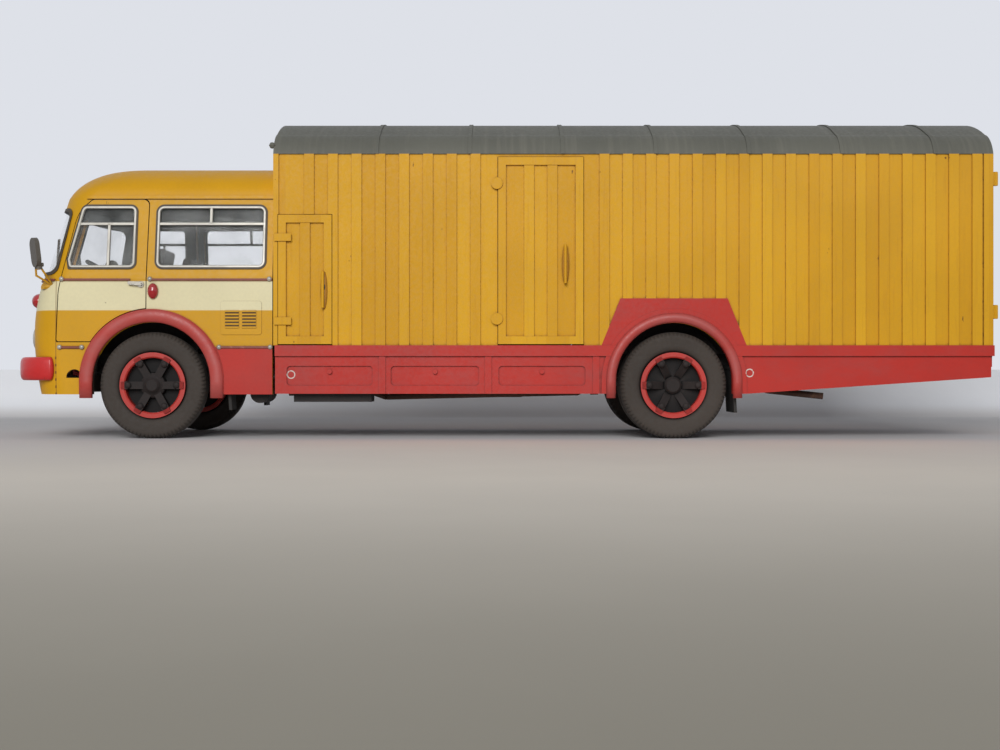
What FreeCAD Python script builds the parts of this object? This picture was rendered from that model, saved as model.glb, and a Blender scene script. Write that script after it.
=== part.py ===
import FreeCAD, Part
import math
import os

# Decorated box truck with a bus type forward control cab, as a small scale model.
# Millimetres. Forward is +X, the left side is +Y, up is +Z and the wheels stand on Z = 0.
# Places along the truck are measured from the front axle; put() moves them to the middle of its length.

# Running gear
WHEELBASE = 126.8
TYRE_RADIUS = 13.0
TYRE_WIDTH = 5.4
TYRE_BEAD_RADIUS = 8.0
WHEEL_FACE = 28.6
TWIN_PITCH = 6.6
RIM_EYE_RADIUS = 6.7
AXLE_RADIUS = 1.0
AXLE_CLEARANCE = 0.08
FRONT_BORE_DEPTH = 1.4
REAR_BORE_DEPTH = 3.4
AXLE_END_GAP = 0.2
SPOKE_COUNT = 6
ARM_WIDTH = 1.8
HUB_PROUD = 0.5
HUB_RADIUS = 3.0

# Cab
CAB_BACK = -29.3
CAB_WALL = 1.3
CAB_SIDE = 29.05
CAB_FOOT = 10.8
BELT_HEIGHT = 38.9
GUTTER_HEIGHT = 59.0
CAB_ROOF_HEIGHT = 68.4
CAB_NOSE = 32.4
CORNER_RADIUS = 8.0
NOSE_BULGE = 130.0
GLASS_INSET = 0.5
GLASS_THICKNESS = 0.6
SEAL_PROUD = 0.25
DOOR_GAP = 0.15
CAB_FLOOR_TOP = 31.0
CAB_FLOOR_THICKNESS = 1.2
WINDOW_SILL = 41.2
WINDOW_HEAD = 57.2
WINDOW_RIM = 0.7

# Wheel arches
ARCH_CENTRE_HEIGHT = 14.0
FRONT_ARCH_OPENING = 14.3
FRONT_ARCH_FLANGE = 17.5
REAR_ARCH_OPENING = 14.2
REAR_ARCH_FLANGE = 16.4
REAR_ARCH_LIP = 17.6
ARCH_PROUD = 0.5

# Box body
BOX_FRONT = -29.5
BOX_TAIL = -204.3
BOX_WALL = 1.1
BATTEN_WIDTH = 2.4
BATTEN_DEPTH = 0.4
BATTEN_PITCH = 5.72
SILL_BOTTOM = 10.95
RAIL_BOTTOM = 20.1
RAIL_TOP = 22.7
RAIL_PROUD = 0.3
EAVE_HEIGHT = 69.2
ROOF_SHOULDER_HEIGHT = 74.8
ROOF_SHOULDER_SIDE = 23.3
ROOF_HEIGHT = 80.5
ROOF_THICKNESS = 0.9
ROOF_RIB_WIDTH = 0.9
ROOF_RIB_HEIGHT = 0.25
FIRST_RIB = -54.6
RIB_PITCH = 22.6
RIB_COUNT = 7
LOCKER_FRONT = -30.7
LOCKER_BACK = -43.7
LOCKER_TOP = 54.4
SIDE_DOOR_FRONT = -84.1
SIDE_DOOR_BACK = -104.8
SIDE_DOOR_TOP = 68.4
DOOR_THICKNESS = 1.5
REAR_DOOR_SIDE = 25.6
TAIL_SKIRT_FRONT = -144.6
TAIL_SKIRT_RISE = 4.0

# Frame, bumpers and fittings
FRAME_RAIL_SIDE = 9.0
FRAME_RAIL_WIDTH = 2.2
FRAME_RAIL_HEIGHT = 3.6
FRAME_TOP = 20.9
FRAME_FRONT = 28.5
BUMPER_FRONT = 36.0
BUMPER_BOTTOM = 14.2
BUMPER_TOP = 19.9
BUMPER_THICKNESS = 1.8
BUMPER_END = 24.6
HINGE_STANDOFF = 1.8
FRONT_BEAM_RADIUS = 1.2
REAR_BEAM_RADIUS = 1.3
SPRING_LEAVES = 3
LEAF_THICKNESS = 0.45
PIPE_RADIUS = 0.8
SPRING_SIDE = 10.6
SPRING_WIDTH = 1.8
FRONT_SPRING_HALF = 19.0
REAR_SPRING_HALF = 24.0
MOUNT_BORE_RADIUS = 1.5
MOUNT_BOSS_RADIUS = 3.2
FRONT_MOUNT = 24.3
REAR_MOUNT = -172.0

V = FreeCAD.Vector
REAR_AXLE = -WHEELBASE
REAR_END = BOX_TAIL - HINGE_STANDOFF
LENGTH_CENTRE = (BUMPER_FRONT + REAR_END) / 2
BATTEN_FACE = CAB_SIDE
BOARD_FACE = CAB_SIDE - BATTEN_DEPTH
WALL_INSIDE = BOARD_FACE - BOX_WALL
FRAME_BOTTOM = FRAME_TOP - FRAME_RAIL_HEIGHT

# Level, front, half width, corner radius and bulge of the cab's plan outline, from the skirt up
SKIRT_LEVELS = [
    (CAB_FOOT, CAB_NOSE - 1.6, CAB_SIDE - 0.1, CORNER_RADIUS, NOSE_BULGE),
    (18.0, CAB_NOSE - 0.4, CAB_SIDE, CORNER_RADIUS, NOSE_BULGE),
    (28.0, CAB_NOSE, CAB_SIDE, CORNER_RADIUS, NOSE_BULGE),
    (BELT_HEIGHT, CAB_NOSE - 2.2, CAB_SIDE, CORNER_RADIUS, NOSE_BULGE),
]
GUTTER_LEVEL = (GUTTER_HEIGHT, CAB_NOSE - 8.0, CAB_SIDE - 3.0, CORNER_RADIUS, NOSE_BULGE)
ROOF_LEVELS = [
    GUTTER_LEVEL,
    (CAB_ROOF_HEIGHT - 6.9, CAB_NOSE - 9.0, CAB_SIDE - 3.8, 9.0, 90.0),
    (CAB_ROOF_HEIGHT - 4.4, CAB_NOSE - 11.0, CAB_SIDE - 6.0, 11.0, 70.0),
    (CAB_ROOF_HEIGHT - 2.2, CAB_NOSE - 14.4, CAB_SIDE - 10.2, 11.0, 60.0),
    (CAB_ROOF_HEIGHT - 0.8, CAB_NOSE - 19.4, CAB_SIDE - 16.5, 9.0, 50.0),
    (CAB_ROOF_HEIGHT, CAB_NOSE - 27.4, CAB_SIDE - 23.5, 4.5, 40.0),
]


def block(x0, x1, y0, y1, z0, z1):
    """Box between two corners given as ranges."""
    return Part.makeBox(x1 - x0, y1 - y0, z1 - z0, V(x0, y0, z0))


def rod(radius, start, end):
    """Round bar from one point to another."""
    line = V(*end).sub(V(*start))
    return Part.makeCylinder(radius, line.Length, V(*start), line)


def bar(radius, start, end):
    """Thin bar with eight flats from one point to another."""
    line = V(*end).sub(V(*start))
    turns = [math.radians(45 * index + 22.5) for index in range(8)]
    corners = [V(radius * math.cos(turn), radius * math.sin(turn), 0) for turn in turns]
    stick = Part.Face(Part.makePolygon(corners + corners[:1])).extrude(V(0, 0, line.Length))
    stick.Placement = FreeCAD.Placement(V(*start), FreeCAD.Rotation(V(0, 0, 1), line))
    return stick


def bead(radius, centre):
    """Small knob turned from a six sided outline."""
    rings = [(-1.0, 0.0), (-0.8, 0.6), (0.0, 1.0), (0.8, 0.6), (1.0, 0.0)]
    outline = [V(radius * wide, 0, radius * high) for high, wide in rings]
    ball = Part.Face(Part.makePolygon(outline + outline[:1])).revolve(V(0, 0, 0), V(0, 0, 1), 360)
    ball.translate(V(*centre))
    return ball


def mirrored(shape):
    """The same piece on the other side of the truck."""
    return shape.mirror(V(0, 0, 0), V(0, 1, 0))


def both_sides(shape):
    """A left piece and its right twin as one node."""
    return Part.makeCompound([shape, mirrored(shape)])


def joined(pieces):
    """Pieces that carry each other, as one solid."""
    return pieces[0].fuse(pieces[1:]).removeSplitter()


def rounded_outline(corners, radius, place):
    """Closed wire through the corners, each rounded by the radius or by its own radius in a list."""
    count = len(corners)
    radii = radius if isinstance(radius, list) else [radius] * count
    edges = []
    ends = []
    for index in range(count):
        here = V(corners[index][0], corners[index][1], 0)
        before = V(*corners[index - 1], 0).sub(here).normalize()
        after = V(*corners[(index + 1) % count], 0).sub(here).normalize()
        half_angle = before.getAngle(after) / 2
        setback = radii[index] / math.tan(half_angle)
        start = here + before * setback
        end = here + after * setback
        if radii[index] > 0:
            bisector = (before + after).normalize()
            middle = here + bisector * (radii[index] / math.sin(half_angle) - radii[index])
            edges.append(Part.Arc(place(start), place(middle), place(end)).toShape())
        ends.append((start, end))
    for index in range(count):
        start = place(ends[index][1])
        end = place(ends[(index + 1) % count][0])
        if start.distanceToPoint(end) > 1e-6:
            edges.append(Part.makeLine(start, end))
    return Part.Wire(Part.__sortEdges__(edges))


def side_plate(corners, radius, y0, y1):
    """Plate with its outline in the side view, from y0 to y1."""
    wire = rounded_outline(corners, radius, lambda p: V(p.x, y0, p.y))
    return Part.Face(wire).extrude(V(0, y1 - y0, 0))


def end_plate(corners, radius, x0, x1):
    """Plate with its outline in the end view, from x0 to x1."""
    wire = rounded_outline(corners, radius, lambda p: V(x0, p.x, p.y))
    return Part.Face(wire).extrude(V(x1 - x0, 0, 0))


def bow_outline(level, inset, back, drop):
    """Plan outline with a flat back, straight sides, round corners and a bulged front."""
    height, front, half, corner, bulge = level
    height = height - drop
    front = front - inset
    half = half - inset
    corner = corner - inset
    bulge = bulge - inset
    round_x = front - bulge + math.sqrt((bulge - corner) ** 2 - (half - corner) ** 2)
    round_y = half - corner
    heading = math.atan2(round_y, round_x - front + bulge)
    end_x = round_x + corner * math.cos(heading)
    end_y = round_y + corner * math.sin(heading)
    halfway = (heading + math.pi / 2) / 2
    mid_x = round_x + corner * math.cos(halfway)
    mid_y = round_y + corner * math.sin(halfway)
    right = [V(back, -half, height), V(round_x, -half, height), V(mid_x, -mid_y, height), V(end_x, -end_y, height)]
    left = [V(end_x, end_y, height), V(mid_x, mid_y, height), V(round_x, half, height), V(back, half, height)]
    return Part.Wire([
        Part.makeLine(right[0], right[1]),
        Part.Arc(right[1], right[2], right[3]).toShape(),
        Part.Arc(right[3], V(front, 0, height), left[0]).toShape(),
        Part.Arc(left[0], left[1], left[2]).toShape(),
        Part.makeLine(left[2], left[3]),
        Part.makeLine(left[3], right[0]),
    ])


CAB_SOLIDS = {}


def cab_solid(inset):
    """The cab as a filled form, taken in or swelled by the inset."""
    if inset not in CAB_SOLIDS:
        back = CAB_BACK + max(inset, 0)
        foot = SKIRT_LEVELS[0]
        foot = (foot[0] - (2.0 if inset > 0 else 0),) + foot[1:]
        skirt_wires = [bow_outline(level, inset, back, 0) for level in [foot] + SKIRT_LEVELS[1:]]
        glass_wires = [bow_outline(level, inset, back, 0) for level in (SKIRT_LEVELS[-1], GUTTER_LEVEL)]
        roof_wires = [bow_outline(ROOF_LEVELS[0], inset, back, 0)]
        roof_wires += [bow_outline(level, inset, back, inset) for level in ROOF_LEVELS[1:]]
        skirt = Part.makeLoft(skirt_wires, True, False)
        glasshouse = Part.makeLoft(glass_wires, True, True)
        roof = Part.makeLoft(roof_wires, True, False)
        CAB_SOLIDS[inset] = skirt.fuse([glasshouse, roof])
    return CAB_SOLIDS[inset].copy()


def cab_skin(outer, inner):
    """Layer of the cab between two insets."""
    return cab_solid(outer).cut(cab_solid(inner))


def arch(centre, radius, foot, y0, y1):
    """Round topped wheel opening with straight legs, as a solid plug."""
    top = ARCH_CENTRE_HEIGHT + radius
    corners = [(centre - radius, foot), (centre + radius, foot), (centre + radius, top), (centre - radius, top)]
    round_top = radius - 0.01
    return side_plate(corners, [0, 0, round_top, round_top], y0, y1)


def door_outline():
    """Corners of the cab door in the side view and their radii."""
    corners = [
        (1.5, CAB_FLOOR_TOP - 7.4), (23.2, CAB_FLOOR_TOP - 7.4), (22.7, BELT_HEIGHT - 3.0),
        (18.6, WINDOW_HEAD - 1.8), (15.0, GUTTER_HEIGHT - 0.5), (1.2, GUTTER_HEIGHT - 0.5),
    ]
    return corners, [0, 0.5, 12.0, 8.0, 1.5, 1.5]


def grown(corners, amount):
    """Corners moved outwards from their middle by about the amount on each side."""
    middle_x = (min(c[0] for c in corners) + max(c[0] for c in corners)) / 2
    middle_z = (min(c[1] for c in corners) + max(c[1] for c in corners)) / 2
    half_x = (max(c[0] for c in corners) - min(c[0] for c in corners)) / 2
    half_z = (max(c[1] for c in corners) - min(c[1] for c in corners)) / 2
    return [
        (middle_x + (c[0] - middle_x) * (half_x + amount) / half_x,
         middle_z + (c[1] - middle_z) * (half_z + amount) / half_z)
        for c in corners
    ]


REACH = CAB_SIDE + 10


def cab_door_plug(gap):
    """Region of the left cab door, made larger by the gap."""
    corners, radii = door_outline()
    plug = side_plate(grown(corners, gap), radii, 5.0, REACH)
    return plug.cut(arch(0, FRONT_ARCH_FLANGE + 0.2 - gap, 0.0, 0.0, REACH + 1))


DOOR_WINDOW = [
    (3.8, WINDOW_SILL), (20.4, WINDOW_SILL), (20.9, WINDOW_SILL + 2.4), (17.6, WINDOW_HEAD), (3.8, WINDOW_HEAD),
]
DOOR_WINDOW_RADII = [1.8, 0.3, 0.8, 1.8, 1.8]
REAR_WINDOW = [(-27.8, WINDOW_SILL), (-0.6, WINDOW_SILL), (-0.6, WINDOW_HEAD), (-27.8, WINDOW_HEAD)]
WINDSCREEN = [(40.0, BELT_HEIGHT + 1.1), (23.2, BELT_HEIGHT + 1.1), (20.0, 56.6), (40.0, 56.6)]
WINDSCREEN_RADII = [0, 2.4, 1.6, 0]
WINDSCREEN_POST = 0.6


def door_window(shrink):
    """Plug through the left door window."""
    return side_plate(grown(DOOR_WINDOW, -shrink), DOOR_WINDOW_RADII, 5.0, REACH)


def rear_window(shrink):
    """Plug through the left rear cab window."""
    return side_plate(grown(REAR_WINDOW, -shrink), 2.0, 5.0, REACH)


def windscreen(shrink):
    """Plugs through both halves of the windscreen."""
    lower = WINDSCREEN[0][1] + shrink
    upper = WINDSCREEN[2][1] - shrink
    corners = [(40.0, lower), (23.2 + shrink, lower), (20.0 + shrink, upper), (40.0, upper)]
    half = side_plate(corners, WINDSCREEN_RADII, WINDSCREEN_POST + shrink, REACH)
    return [half, mirrored(half)]


def window_plugs(shrink):
    """Every window opening of the cab."""
    left = [door_window(shrink), rear_window(shrink)]
    return left + [mirrored(plug) for plug in left] + windscreen(shrink)


MIRROR_BOTTOM = 41.4
MIRROR_TOP = 48.5
MIRROR_WIDTH = 3.9
MIRROR_TURN = 38
MIRROR_LEAN = 7
MIRROR_FOOT = 37.3
MIRROR_WIRE = 0.25
GRILLE_SIDE = 10.5
GRILLE_BOTTOM = BUMPER_TOP + 0.6
GRILLE_TOP = 28.4
LAMP_SIDE = 18.2
LAMP_HEIGHT = 24.6
LAMP_RADIUS = 3.6


def cab_shell():
    """Hollow cab body with its window, door, grille and wheel openings."""
    shell = cab_skin(0, CAB_WALL)
    tools = window_plugs(WINDOW_RIM / 2)
    door = cab_door_plug(DOOR_GAP)
    well = arch(0, FRONT_ARCH_OPENING, 0.0, 15.0, REACH)
    tools += [door, mirrored(door), well, mirrored(well)]
    tools.append(block(20, 45, -GRILLE_SIDE, GRILLE_SIDE, GRILLE_BOTTOM, GRILLE_TOP))
    eye = rod(1.9, (18.8, 20, 15.0), (18.8, REACH, 15.0)).cut(block(10, 30, 15, REACH + 1, 10, 14.8))
    tools += [eye, mirrored(eye)]
    inside = CAB_SIDE - CAB_WALL
    tools.append(block(CAB_BACK - 1, CAB_BACK + CAB_WALL + 0.1, -inside, inside, 0, CAB_FLOOR_TOP - CAB_FLOOR_THICKNESS))
    shell = shell.cut(tools + bumper_brackets(0.2))
    gutter = cab_skin(-0.45, 0).common(block(CAB_BACK, 16.5, -REACH, REACH, GUTTER_HEIGHT - 0.4, GUTTER_HEIGHT + 0.4))
    return shell.fuse(gutter)


def cab_door():
    """Left cab door as thick as the cab's wall, with its window cut out."""
    door = cab_skin(0, CAB_WALL).common(cab_door_plug(-DOOR_GAP / 2))
    return door.cut(door_window(WINDOW_RIM / 2))


def cab_side_glass():
    """Panes in the doors and the rear side windows."""
    layer = cab_skin(GLASS_INSET, GLASS_INSET + GLASS_THICKNESS)
    panes = [layer.common(door_window(WINDOW_RIM / 2)), layer.common(rear_window(WINDOW_RIM / 2))]
    return Part.makeCompound(panes + [mirrored(pane) for pane in panes])


def window_bars():
    """Thin bars that divide the left side windows, as plugs."""
    height = 52.4
    bars = [
        block(3.0, 20.0, 5, REACH, height - 0.25, height + 0.25),
        block(10.5, 11.0, 5, REACH, WINDOW_SILL, height),
        block(-27.9, -0.5, 5, REACH, height - 0.25, height + 0.25),
        block(-14.3, -13.8, 5, REACH, height, WINDOW_HEAD),
    ]
    return bars[0].fuse(bars[1:])


def cab_window_frames():
    """Dark seals with bars round the side windows of the cab."""
    layer = cab_skin(-SEAL_PROUD, GLASS_INSET)
    left = []
    for plug in (door_window, rear_window):
        ring = layer.common(plug(0)).cut(plug(WINDOW_RIM))
        inner = plug(WINDOW_RIM / 2)
        bars = layer.common(window_bars()).common(inner).cut(cab_solid(-SEAL_PROUD).cut(cab_solid(0)))
        outer_ring = cab_skin(-SEAL_PROUD, 0).common(plug(0)).cut(plug(WINDOW_RIM))
        inner_ring = cab_skin(0, GLASS_INSET).common(inner).cut(plug(WINDOW_RIM))
        left.append(outer_ring.fuse([inner_ring, bars]))
    return Part.makeCompound(left + [mirrored(piece) for piece in left])


def windscreen_seal():
    """Rubber round each half of the windscreen."""
    rings = []
    for outer, middle, inner in zip(windscreen(0), windscreen(WINDOW_RIM / 2), windscreen(WINDOW_RIM)):
        lip = cab_skin(-SEAL_PROUD, 0).common(outer).cut(inner)
        rings.append(lip.fuse(cab_skin(0, GLASS_INSET).common(middle).cut(inner)))
    return Part.makeCompound(rings)


def windscreen_glass():
    """The two curved panes of the windscreen."""
    layer = cab_skin(GLASS_INSET, GLASS_INSET + GLASS_THICKNESS)
    return Part.makeCompound([layer.common(plug) for plug in windscreen(WINDOW_RIM / 2)])


def cab_floor():
    """Floor of the cab, which closes it above the engine and the front wheels."""
    slab = block(CAB_BACK, 40, -REACH, REACH, CAB_FLOOR_TOP - CAB_FLOOR_THICKNESS, CAB_FLOOR_TOP)
    return slab.common(cab_solid(CAB_WALL))


def dashboard():
    """Dashboard below the windscreen with a hood over the dials."""
    corners = [(20.5, CAB_FLOOR_TOP), (31.0, CAB_FLOOR_TOP), (31.0, 39.6), (24.0, 40.0), (21.5, 37.0)]
    shelf = side_plate(corners, [0, 0, 0, 0.8, 1.0], -25.5, 25.5)
    hood = rod(3.4, (22.2, 14.0, 38.0), (26.0, 14.0, 38.0))
    return shelf.common(cab_solid(CAB_WALL + 0.2)).fuse(hood.cut(block(10, 30, 0, 30, 30, CAB_FLOOR_TOP)))


def seats():
    """Driver seat, double passenger seat and the engine cover between them."""
    def seat(y0, y1):
        cushion = side_plate([(3, 33), (13, 33), (13, 36.4), (3, 35.6)], 0.8, y0, y1)
        rest = side_plate([(1.4, 34.5), (3.6, 34.5), (1.0, 47), (-1.2, 47)], 0.8, y0, y1)
        foot = block(4, 12, y0 + 1, y1 - 1, CAB_FLOOR_TOP, 34)
        return joined([cushion, rest, foot])
    cover = end_plate([(-6, CAB_FLOOR_TOP), (6, CAB_FLOOR_TOP), (5, 37), (-5, 37)], [0, 0, 1.2, 1.2], -2, 18)
    return Part.makeCompound([seat(9.5, 19.5), seat(-24, -8.5), cover])


def steering_wheel():
    """Wheel with three spokes on a raked column."""
    centre = V(16.5, 14.0, 42.0)
    axis = V(-0.55, 0, 0.835)
    tube = [V(4.3 + 0.4 * math.cos(math.radians(turn)), 0, 0.4 * math.sin(math.radians(turn)))
            for turn in range(0, 420, 60)]
    rim = Part.Face(Part.makePolygon(tube)).revolve(V(0, 0, 0), V(0, 0, 1), 360)
    rim.Placement = FreeCAD.Placement(centre, FreeCAD.Rotation(V(0, 0, 1), axis))
    pieces = [bar(0.9, tuple(centre - axis * 0.5), tuple(centre + axis * 0.5))]
    for turn in range(3):
        spoke = bar(0.3, (0, 0, 0), (4.3, 0, 0))
        spoke.rotate(V(0, 0, 0), V(0, 0, 1), 90 + 120 * turn)
        spoke.rotate(V(0, 0, 0), V(0, 1, 0), -math.degrees(math.atan2(0.55, 0.835)))
        spoke.translate(centre)
        pieces.append(spoke)
    foot = centre - axis * 7.4
    pieces.append(bar(0.7, tuple(foot), tuple(centre)))
    return rim.fuse(pieces)


def wipers():
    """Two wiper arms with blades, parked along the foot of the windscreen."""
    pieces = []
    for side in (4.0, -15.0):
        layer = cab_skin(-0.75, -0.25)
        arm = end_plate([(side, 39.2), (side + 0.6, 39.2), (side + 9.0, 45.8), (side + 8.4, 46.3)], 0, 20, 34)
        blade = end_plate([(side + 4.4, 42.2), (side + 5.0, 42.0), (side + 12.6, 49.6), (side + 12.0, 49.8)], 0, 20, 34)
        pivot = cab_skin(-0.9, 0).common(rod(0.7, (20, side + 0.3, 39.2), (34, side + 0.3, 39.2)))
        pieces.append(layer.common(arm.fuse(blade)).fuse(pivot))
    return Part.makeCompound(pieces)


def bumper():
    """Red front bumper that wraps the corners, on two brackets from the frame."""
    level = (BUMPER_BOTTOM, BUMPER_FRONT, CAB_SIDE + 0.5, CORNER_RADIUS + 1.5, NOSE_BULGE)
    height = BUMPER_TOP - BUMPER_BOTTOM
    outer = Part.Face(bow_outline(level, 0, BUMPER_END, 0)).extrude(V(0, 0, height))
    inner = Part.Face(bow_outline(level, BUMPER_THICKNESS, BUMPER_END - 1, 0)).extrude(V(0, 0, height))
    outer = outer.makeFillet(0.9, [e for e in outer.Edges if is_bumper_lip(e)])
    bar = outer.cut(inner)
    bar = bar.cut(cab_solid(-0.1))
    return bar.fuse(bumper_brackets(0))


def is_bumper_lip(edge):
    """True for the long upper and lower edges of the bumper's outer face."""
    box = edge.BoundBox
    return box.ZLength < 0.01 and box.XMax > BUMPER_END + 0.1


def bumper_brackets(gap):
    """Brackets between the frame rails and the bumper, made larger by the gap."""
    end = BUMPER_FRONT - BUMPER_THICKNESS + 0.2
    inner = FRAME_RAIL_SIDE - FRAME_RAIL_WIDTH
    left = block(FRAME_FRONT + 0.1, end, inner - gap, FRAME_RAIL_SIDE + gap, 15.4 - gap, 18.6 + gap)
    return [left, mirrored(left)]


def front_grille():
    """Slatted air intake between the headlamps, in a rounded frame."""
    frame = end_plate(
        [(-GRILLE_SIDE, GRILLE_BOTTOM), (GRILLE_SIDE, GRILLE_BOTTOM), (GRILLE_SIDE, GRILLE_TOP), (-GRILLE_SIDE, GRILLE_TOP)],
        0, 20, 40)
    mouth = end_plate(
        [(-GRILLE_SIDE + 1, GRILLE_BOTTOM + 1), (GRILLE_SIDE - 1, GRILLE_BOTTOM + 1),
         (GRILLE_SIDE - 1, GRILLE_TOP - 1), (-GRILLE_SIDE + 1, GRILLE_TOP - 1)],
        0.8, 19, 41)
    ring = cab_skin(-0.2, CAB_WALL).common(frame).cut(mouth)
    slats = []
    pitch = (GRILLE_TOP - GRILLE_BOTTOM - 2) / 6
    for index in range(1, 6):
        height = GRILLE_BOTTOM + 1 + pitch * index
        slats.append(block(20, 40, -GRILLE_SIDE, GRILLE_SIDE, height - 0.3, height + 0.3))
    bars = cab_skin(0.1, CAB_WALL - 0.2).common(slats[0].fuse(slats[1:])).common(frame)
    return ring.fuse(bars)


def headlamps():
    """Round lamps with a bright rim and a domed lens."""
    lamps = []
    for side in (LAMP_SIDE, -LAMP_SIDE):
        rim = rod(LAMP_RADIUS, (26, side, LAMP_HEIGHT), (CAB_NOSE + 0.2, side, LAMP_HEIGHT))
        eye = rod(LAMP_RADIUS - 0.6, (26, side, LAMP_HEIGHT), (40, side, LAMP_HEIGHT))
        rings = [(-4.0, 0.0), (-4.0, 1.0), (0.0, 1.0), (0.5, 0.84), (0.85, 0.56), (1.1, 0.0)]
        outline = [V(CAB_NOSE + along, side, LAMP_HEIGHT + share * (LAMP_RADIUS - 0.6)) for along, share in rings]
        lens = Part.Face(Part.makePolygon(outline + outline[:1]))
        lens = lens.revolve(V(CAB_NOSE, side, LAMP_HEIGHT), V(1, 0, 0), 360)
        lamps.append(rim.cut(eye).fuse(lens).cut(cab_solid(0)))
    return Part.makeCompound(lamps)


def marker_lamps():
    """Small dark lamps on the front corners and behind the cab doors."""
    side = rod(1.3, (-0.7, 20, 36.0), (-0.7, REACH, 36.0)).fuse(block(-2.0, 0.6, 20, REACH, 34.6, 36.8))
    side = cab_skin(-0.8, 0).common(side)
    front = rod(1.7, (20, 22.0, 33.8), (40, 22.0, 33.8))
    front = cab_skin(-1.2, 0).common(front)
    return Part.makeCompound([side, front, mirrored(side), mirrored(front)])


def front_arches():
    """Red flanges round the front wheel openings."""
    ring = arch(0, FRONT_ARCH_FLANGE, CAB_FOOT, 20, REACH).cut(arch(0, FRONT_ARCH_OPENING, 0, 19, REACH + 1))
    return both_sides(cab_skin(-ARCH_PROUD, 0).common(ring))


def cab_skirts():
    """Red panels between the front wheel and the box."""
    plate = cab_skin(-0.2, 0).common(block(CAB_BACK, -FRONT_ARCH_OPENING, 20, REACH, CAB_FOOT, 22.3))
    return both_sides(plate.cut(arch(0, FRONT_ARCH_FLANGE, 0, 19, REACH + 1)))


def vent_panels():
    """Raised panels with two columns of louvres behind the front wheels."""
    plate = cab_skin(-0.2, 0).common(side_plate([(-26.7, 25.3), (-16.8, 25.3), (-16.8, 33.4), (-26.7, 33.4)], 0.6, 20, REACH))
    hoods = []
    for column in (-23.7, -19.55):
        for row in range(6):
            foot = 26.9 + row * 0.78
            hoods.append(Part.makeBox(3.4, 0.35, 0.35, V(column - 1.7, CAB_SIDE + 0.1, foot)))
    return both_sides(plate.fuse(hoods))


def rub_strips():
    """Brown strips along the belt line of the cab and above its skirts."""
    belt = cab_skin(-0.45, 0).common(block(-30, 40, -REACH, REACH, BELT_HEIGHT - 0.5, BELT_HEIGHT))
    cuts = [block(0.4, 5.2, -REACH, REACH, 30, 45), block(21.6, 23.6, -REACH, REACH, 30, 45)]
    cuts.append(block(24.0, 40, -20, 20, 30, 45))
    low = cab_skin(-0.5, -0.2).common(block(CAB_BACK, -16.4, -REACH, REACH, 22.0, 22.5))
    return Part.makeCompound([belt.cut(cuts), low.cut(arch(0, FRONT_ARCH_FLANGE + 0.1, 0, -REACH, REACH))])


def cab_door_handles():
    """Bright lever handles at the back of the cab doors."""
    rose = Part.makeCylinder(0.75, 0.4, V(2.6, CAB_SIDE, 37.5), V(0, 1, 0))
    lever = side_plate([(2.2, 37.1), (5.6, 37.4), (5.6, 38.2), (2.2, 38.0)], 0.3, CAB_SIDE + 0.4, CAB_SIDE + 0.9)
    return both_sides(rose.fuse(lever))


def mirrors():
    """Tall mirror heads, turned half outwards, each on a wire loop from a foot on the cab's front corner."""
    middle = (26.9, CAB_SIDE + 3.3, (MIRROR_TOP + MIRROR_BOTTOM) / 2)
    half = (MIRROR_TOP - MIRROR_BOTTOM) / 2
    wide = MIRROR_WIDTH / 2
    head = end_plate([(-wide, -half), (wide, -half), (wide, half), (-wide, half)], wide - 0.05, -0.4, 0.7)
    head.rotate(V(0, 0, 0), V(0, 0, 1), MIRROR_TURN)
    head.rotate(V(0, 0, 0), V(0, 1, 0), MIRROR_LEAN)
    head.translate(V(*middle))
    low = (26.1, CAB_SIDE + 3.3, MIRROR_BOTTOM - 0.5)
    neck = bar(0.75, low, (26.4, CAB_SIDE + 3.3, MIRROR_BOTTOM + 1.0))
    knob = bar(0.5, (25.2, CAB_SIDE + 3.3, MIRROR_BOTTOM + 0.6), (26.4, CAB_SIDE + 3.3, MIRROR_BOTTOM + 0.6))
    foot = (24.4, CAB_SIDE - 1.4, MIRROR_FOOT)
    wires = [
        bar(MIRROR_WIRE, foot, (27.3, CAB_SIDE + 2.0, MIRROR_FOOT + 2.2)),
        bar(MIRROR_WIRE, (27.3, CAB_SIDE + 2.0, MIRROR_FOOT + 2.2), (27.0, CAB_SIDE + 3.3, MIRROR_BOTTOM + 0.3)),
        bar(MIRROR_WIRE, foot, (25.2, CAB_SIDE + 2.4, MIRROR_FOOT + 2.8)),
        bar(MIRROR_WIRE, (25.2, CAB_SIDE + 2.4, MIRROR_FOOT + 2.8), (25.7, CAB_SIDE + 3.3, MIRROR_BOTTOM - 0.2)),
    ]
    wires += [bead(MIRROR_WIRE + 0.05, (27.3, CAB_SIDE + 2.0, MIRROR_FOOT + 2.2)),
              bead(MIRROR_WIRE + 0.05, (25.2, CAB_SIDE + 2.4, MIRROR_FOOT + 2.8))]
    plate = cab_skin(-0.6, 0).common(bar(0.9, (20, CAB_SIDE - 1.9, MIRROR_FOOT), (30, CAB_SIDE - 1.9, MIRROR_FOOT)))
    loop = wires[0].fuse(wires[1:]).cut(cab_solid(0))
    return both_sides(head.fuse([neck, knob, loop, plate]))


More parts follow.
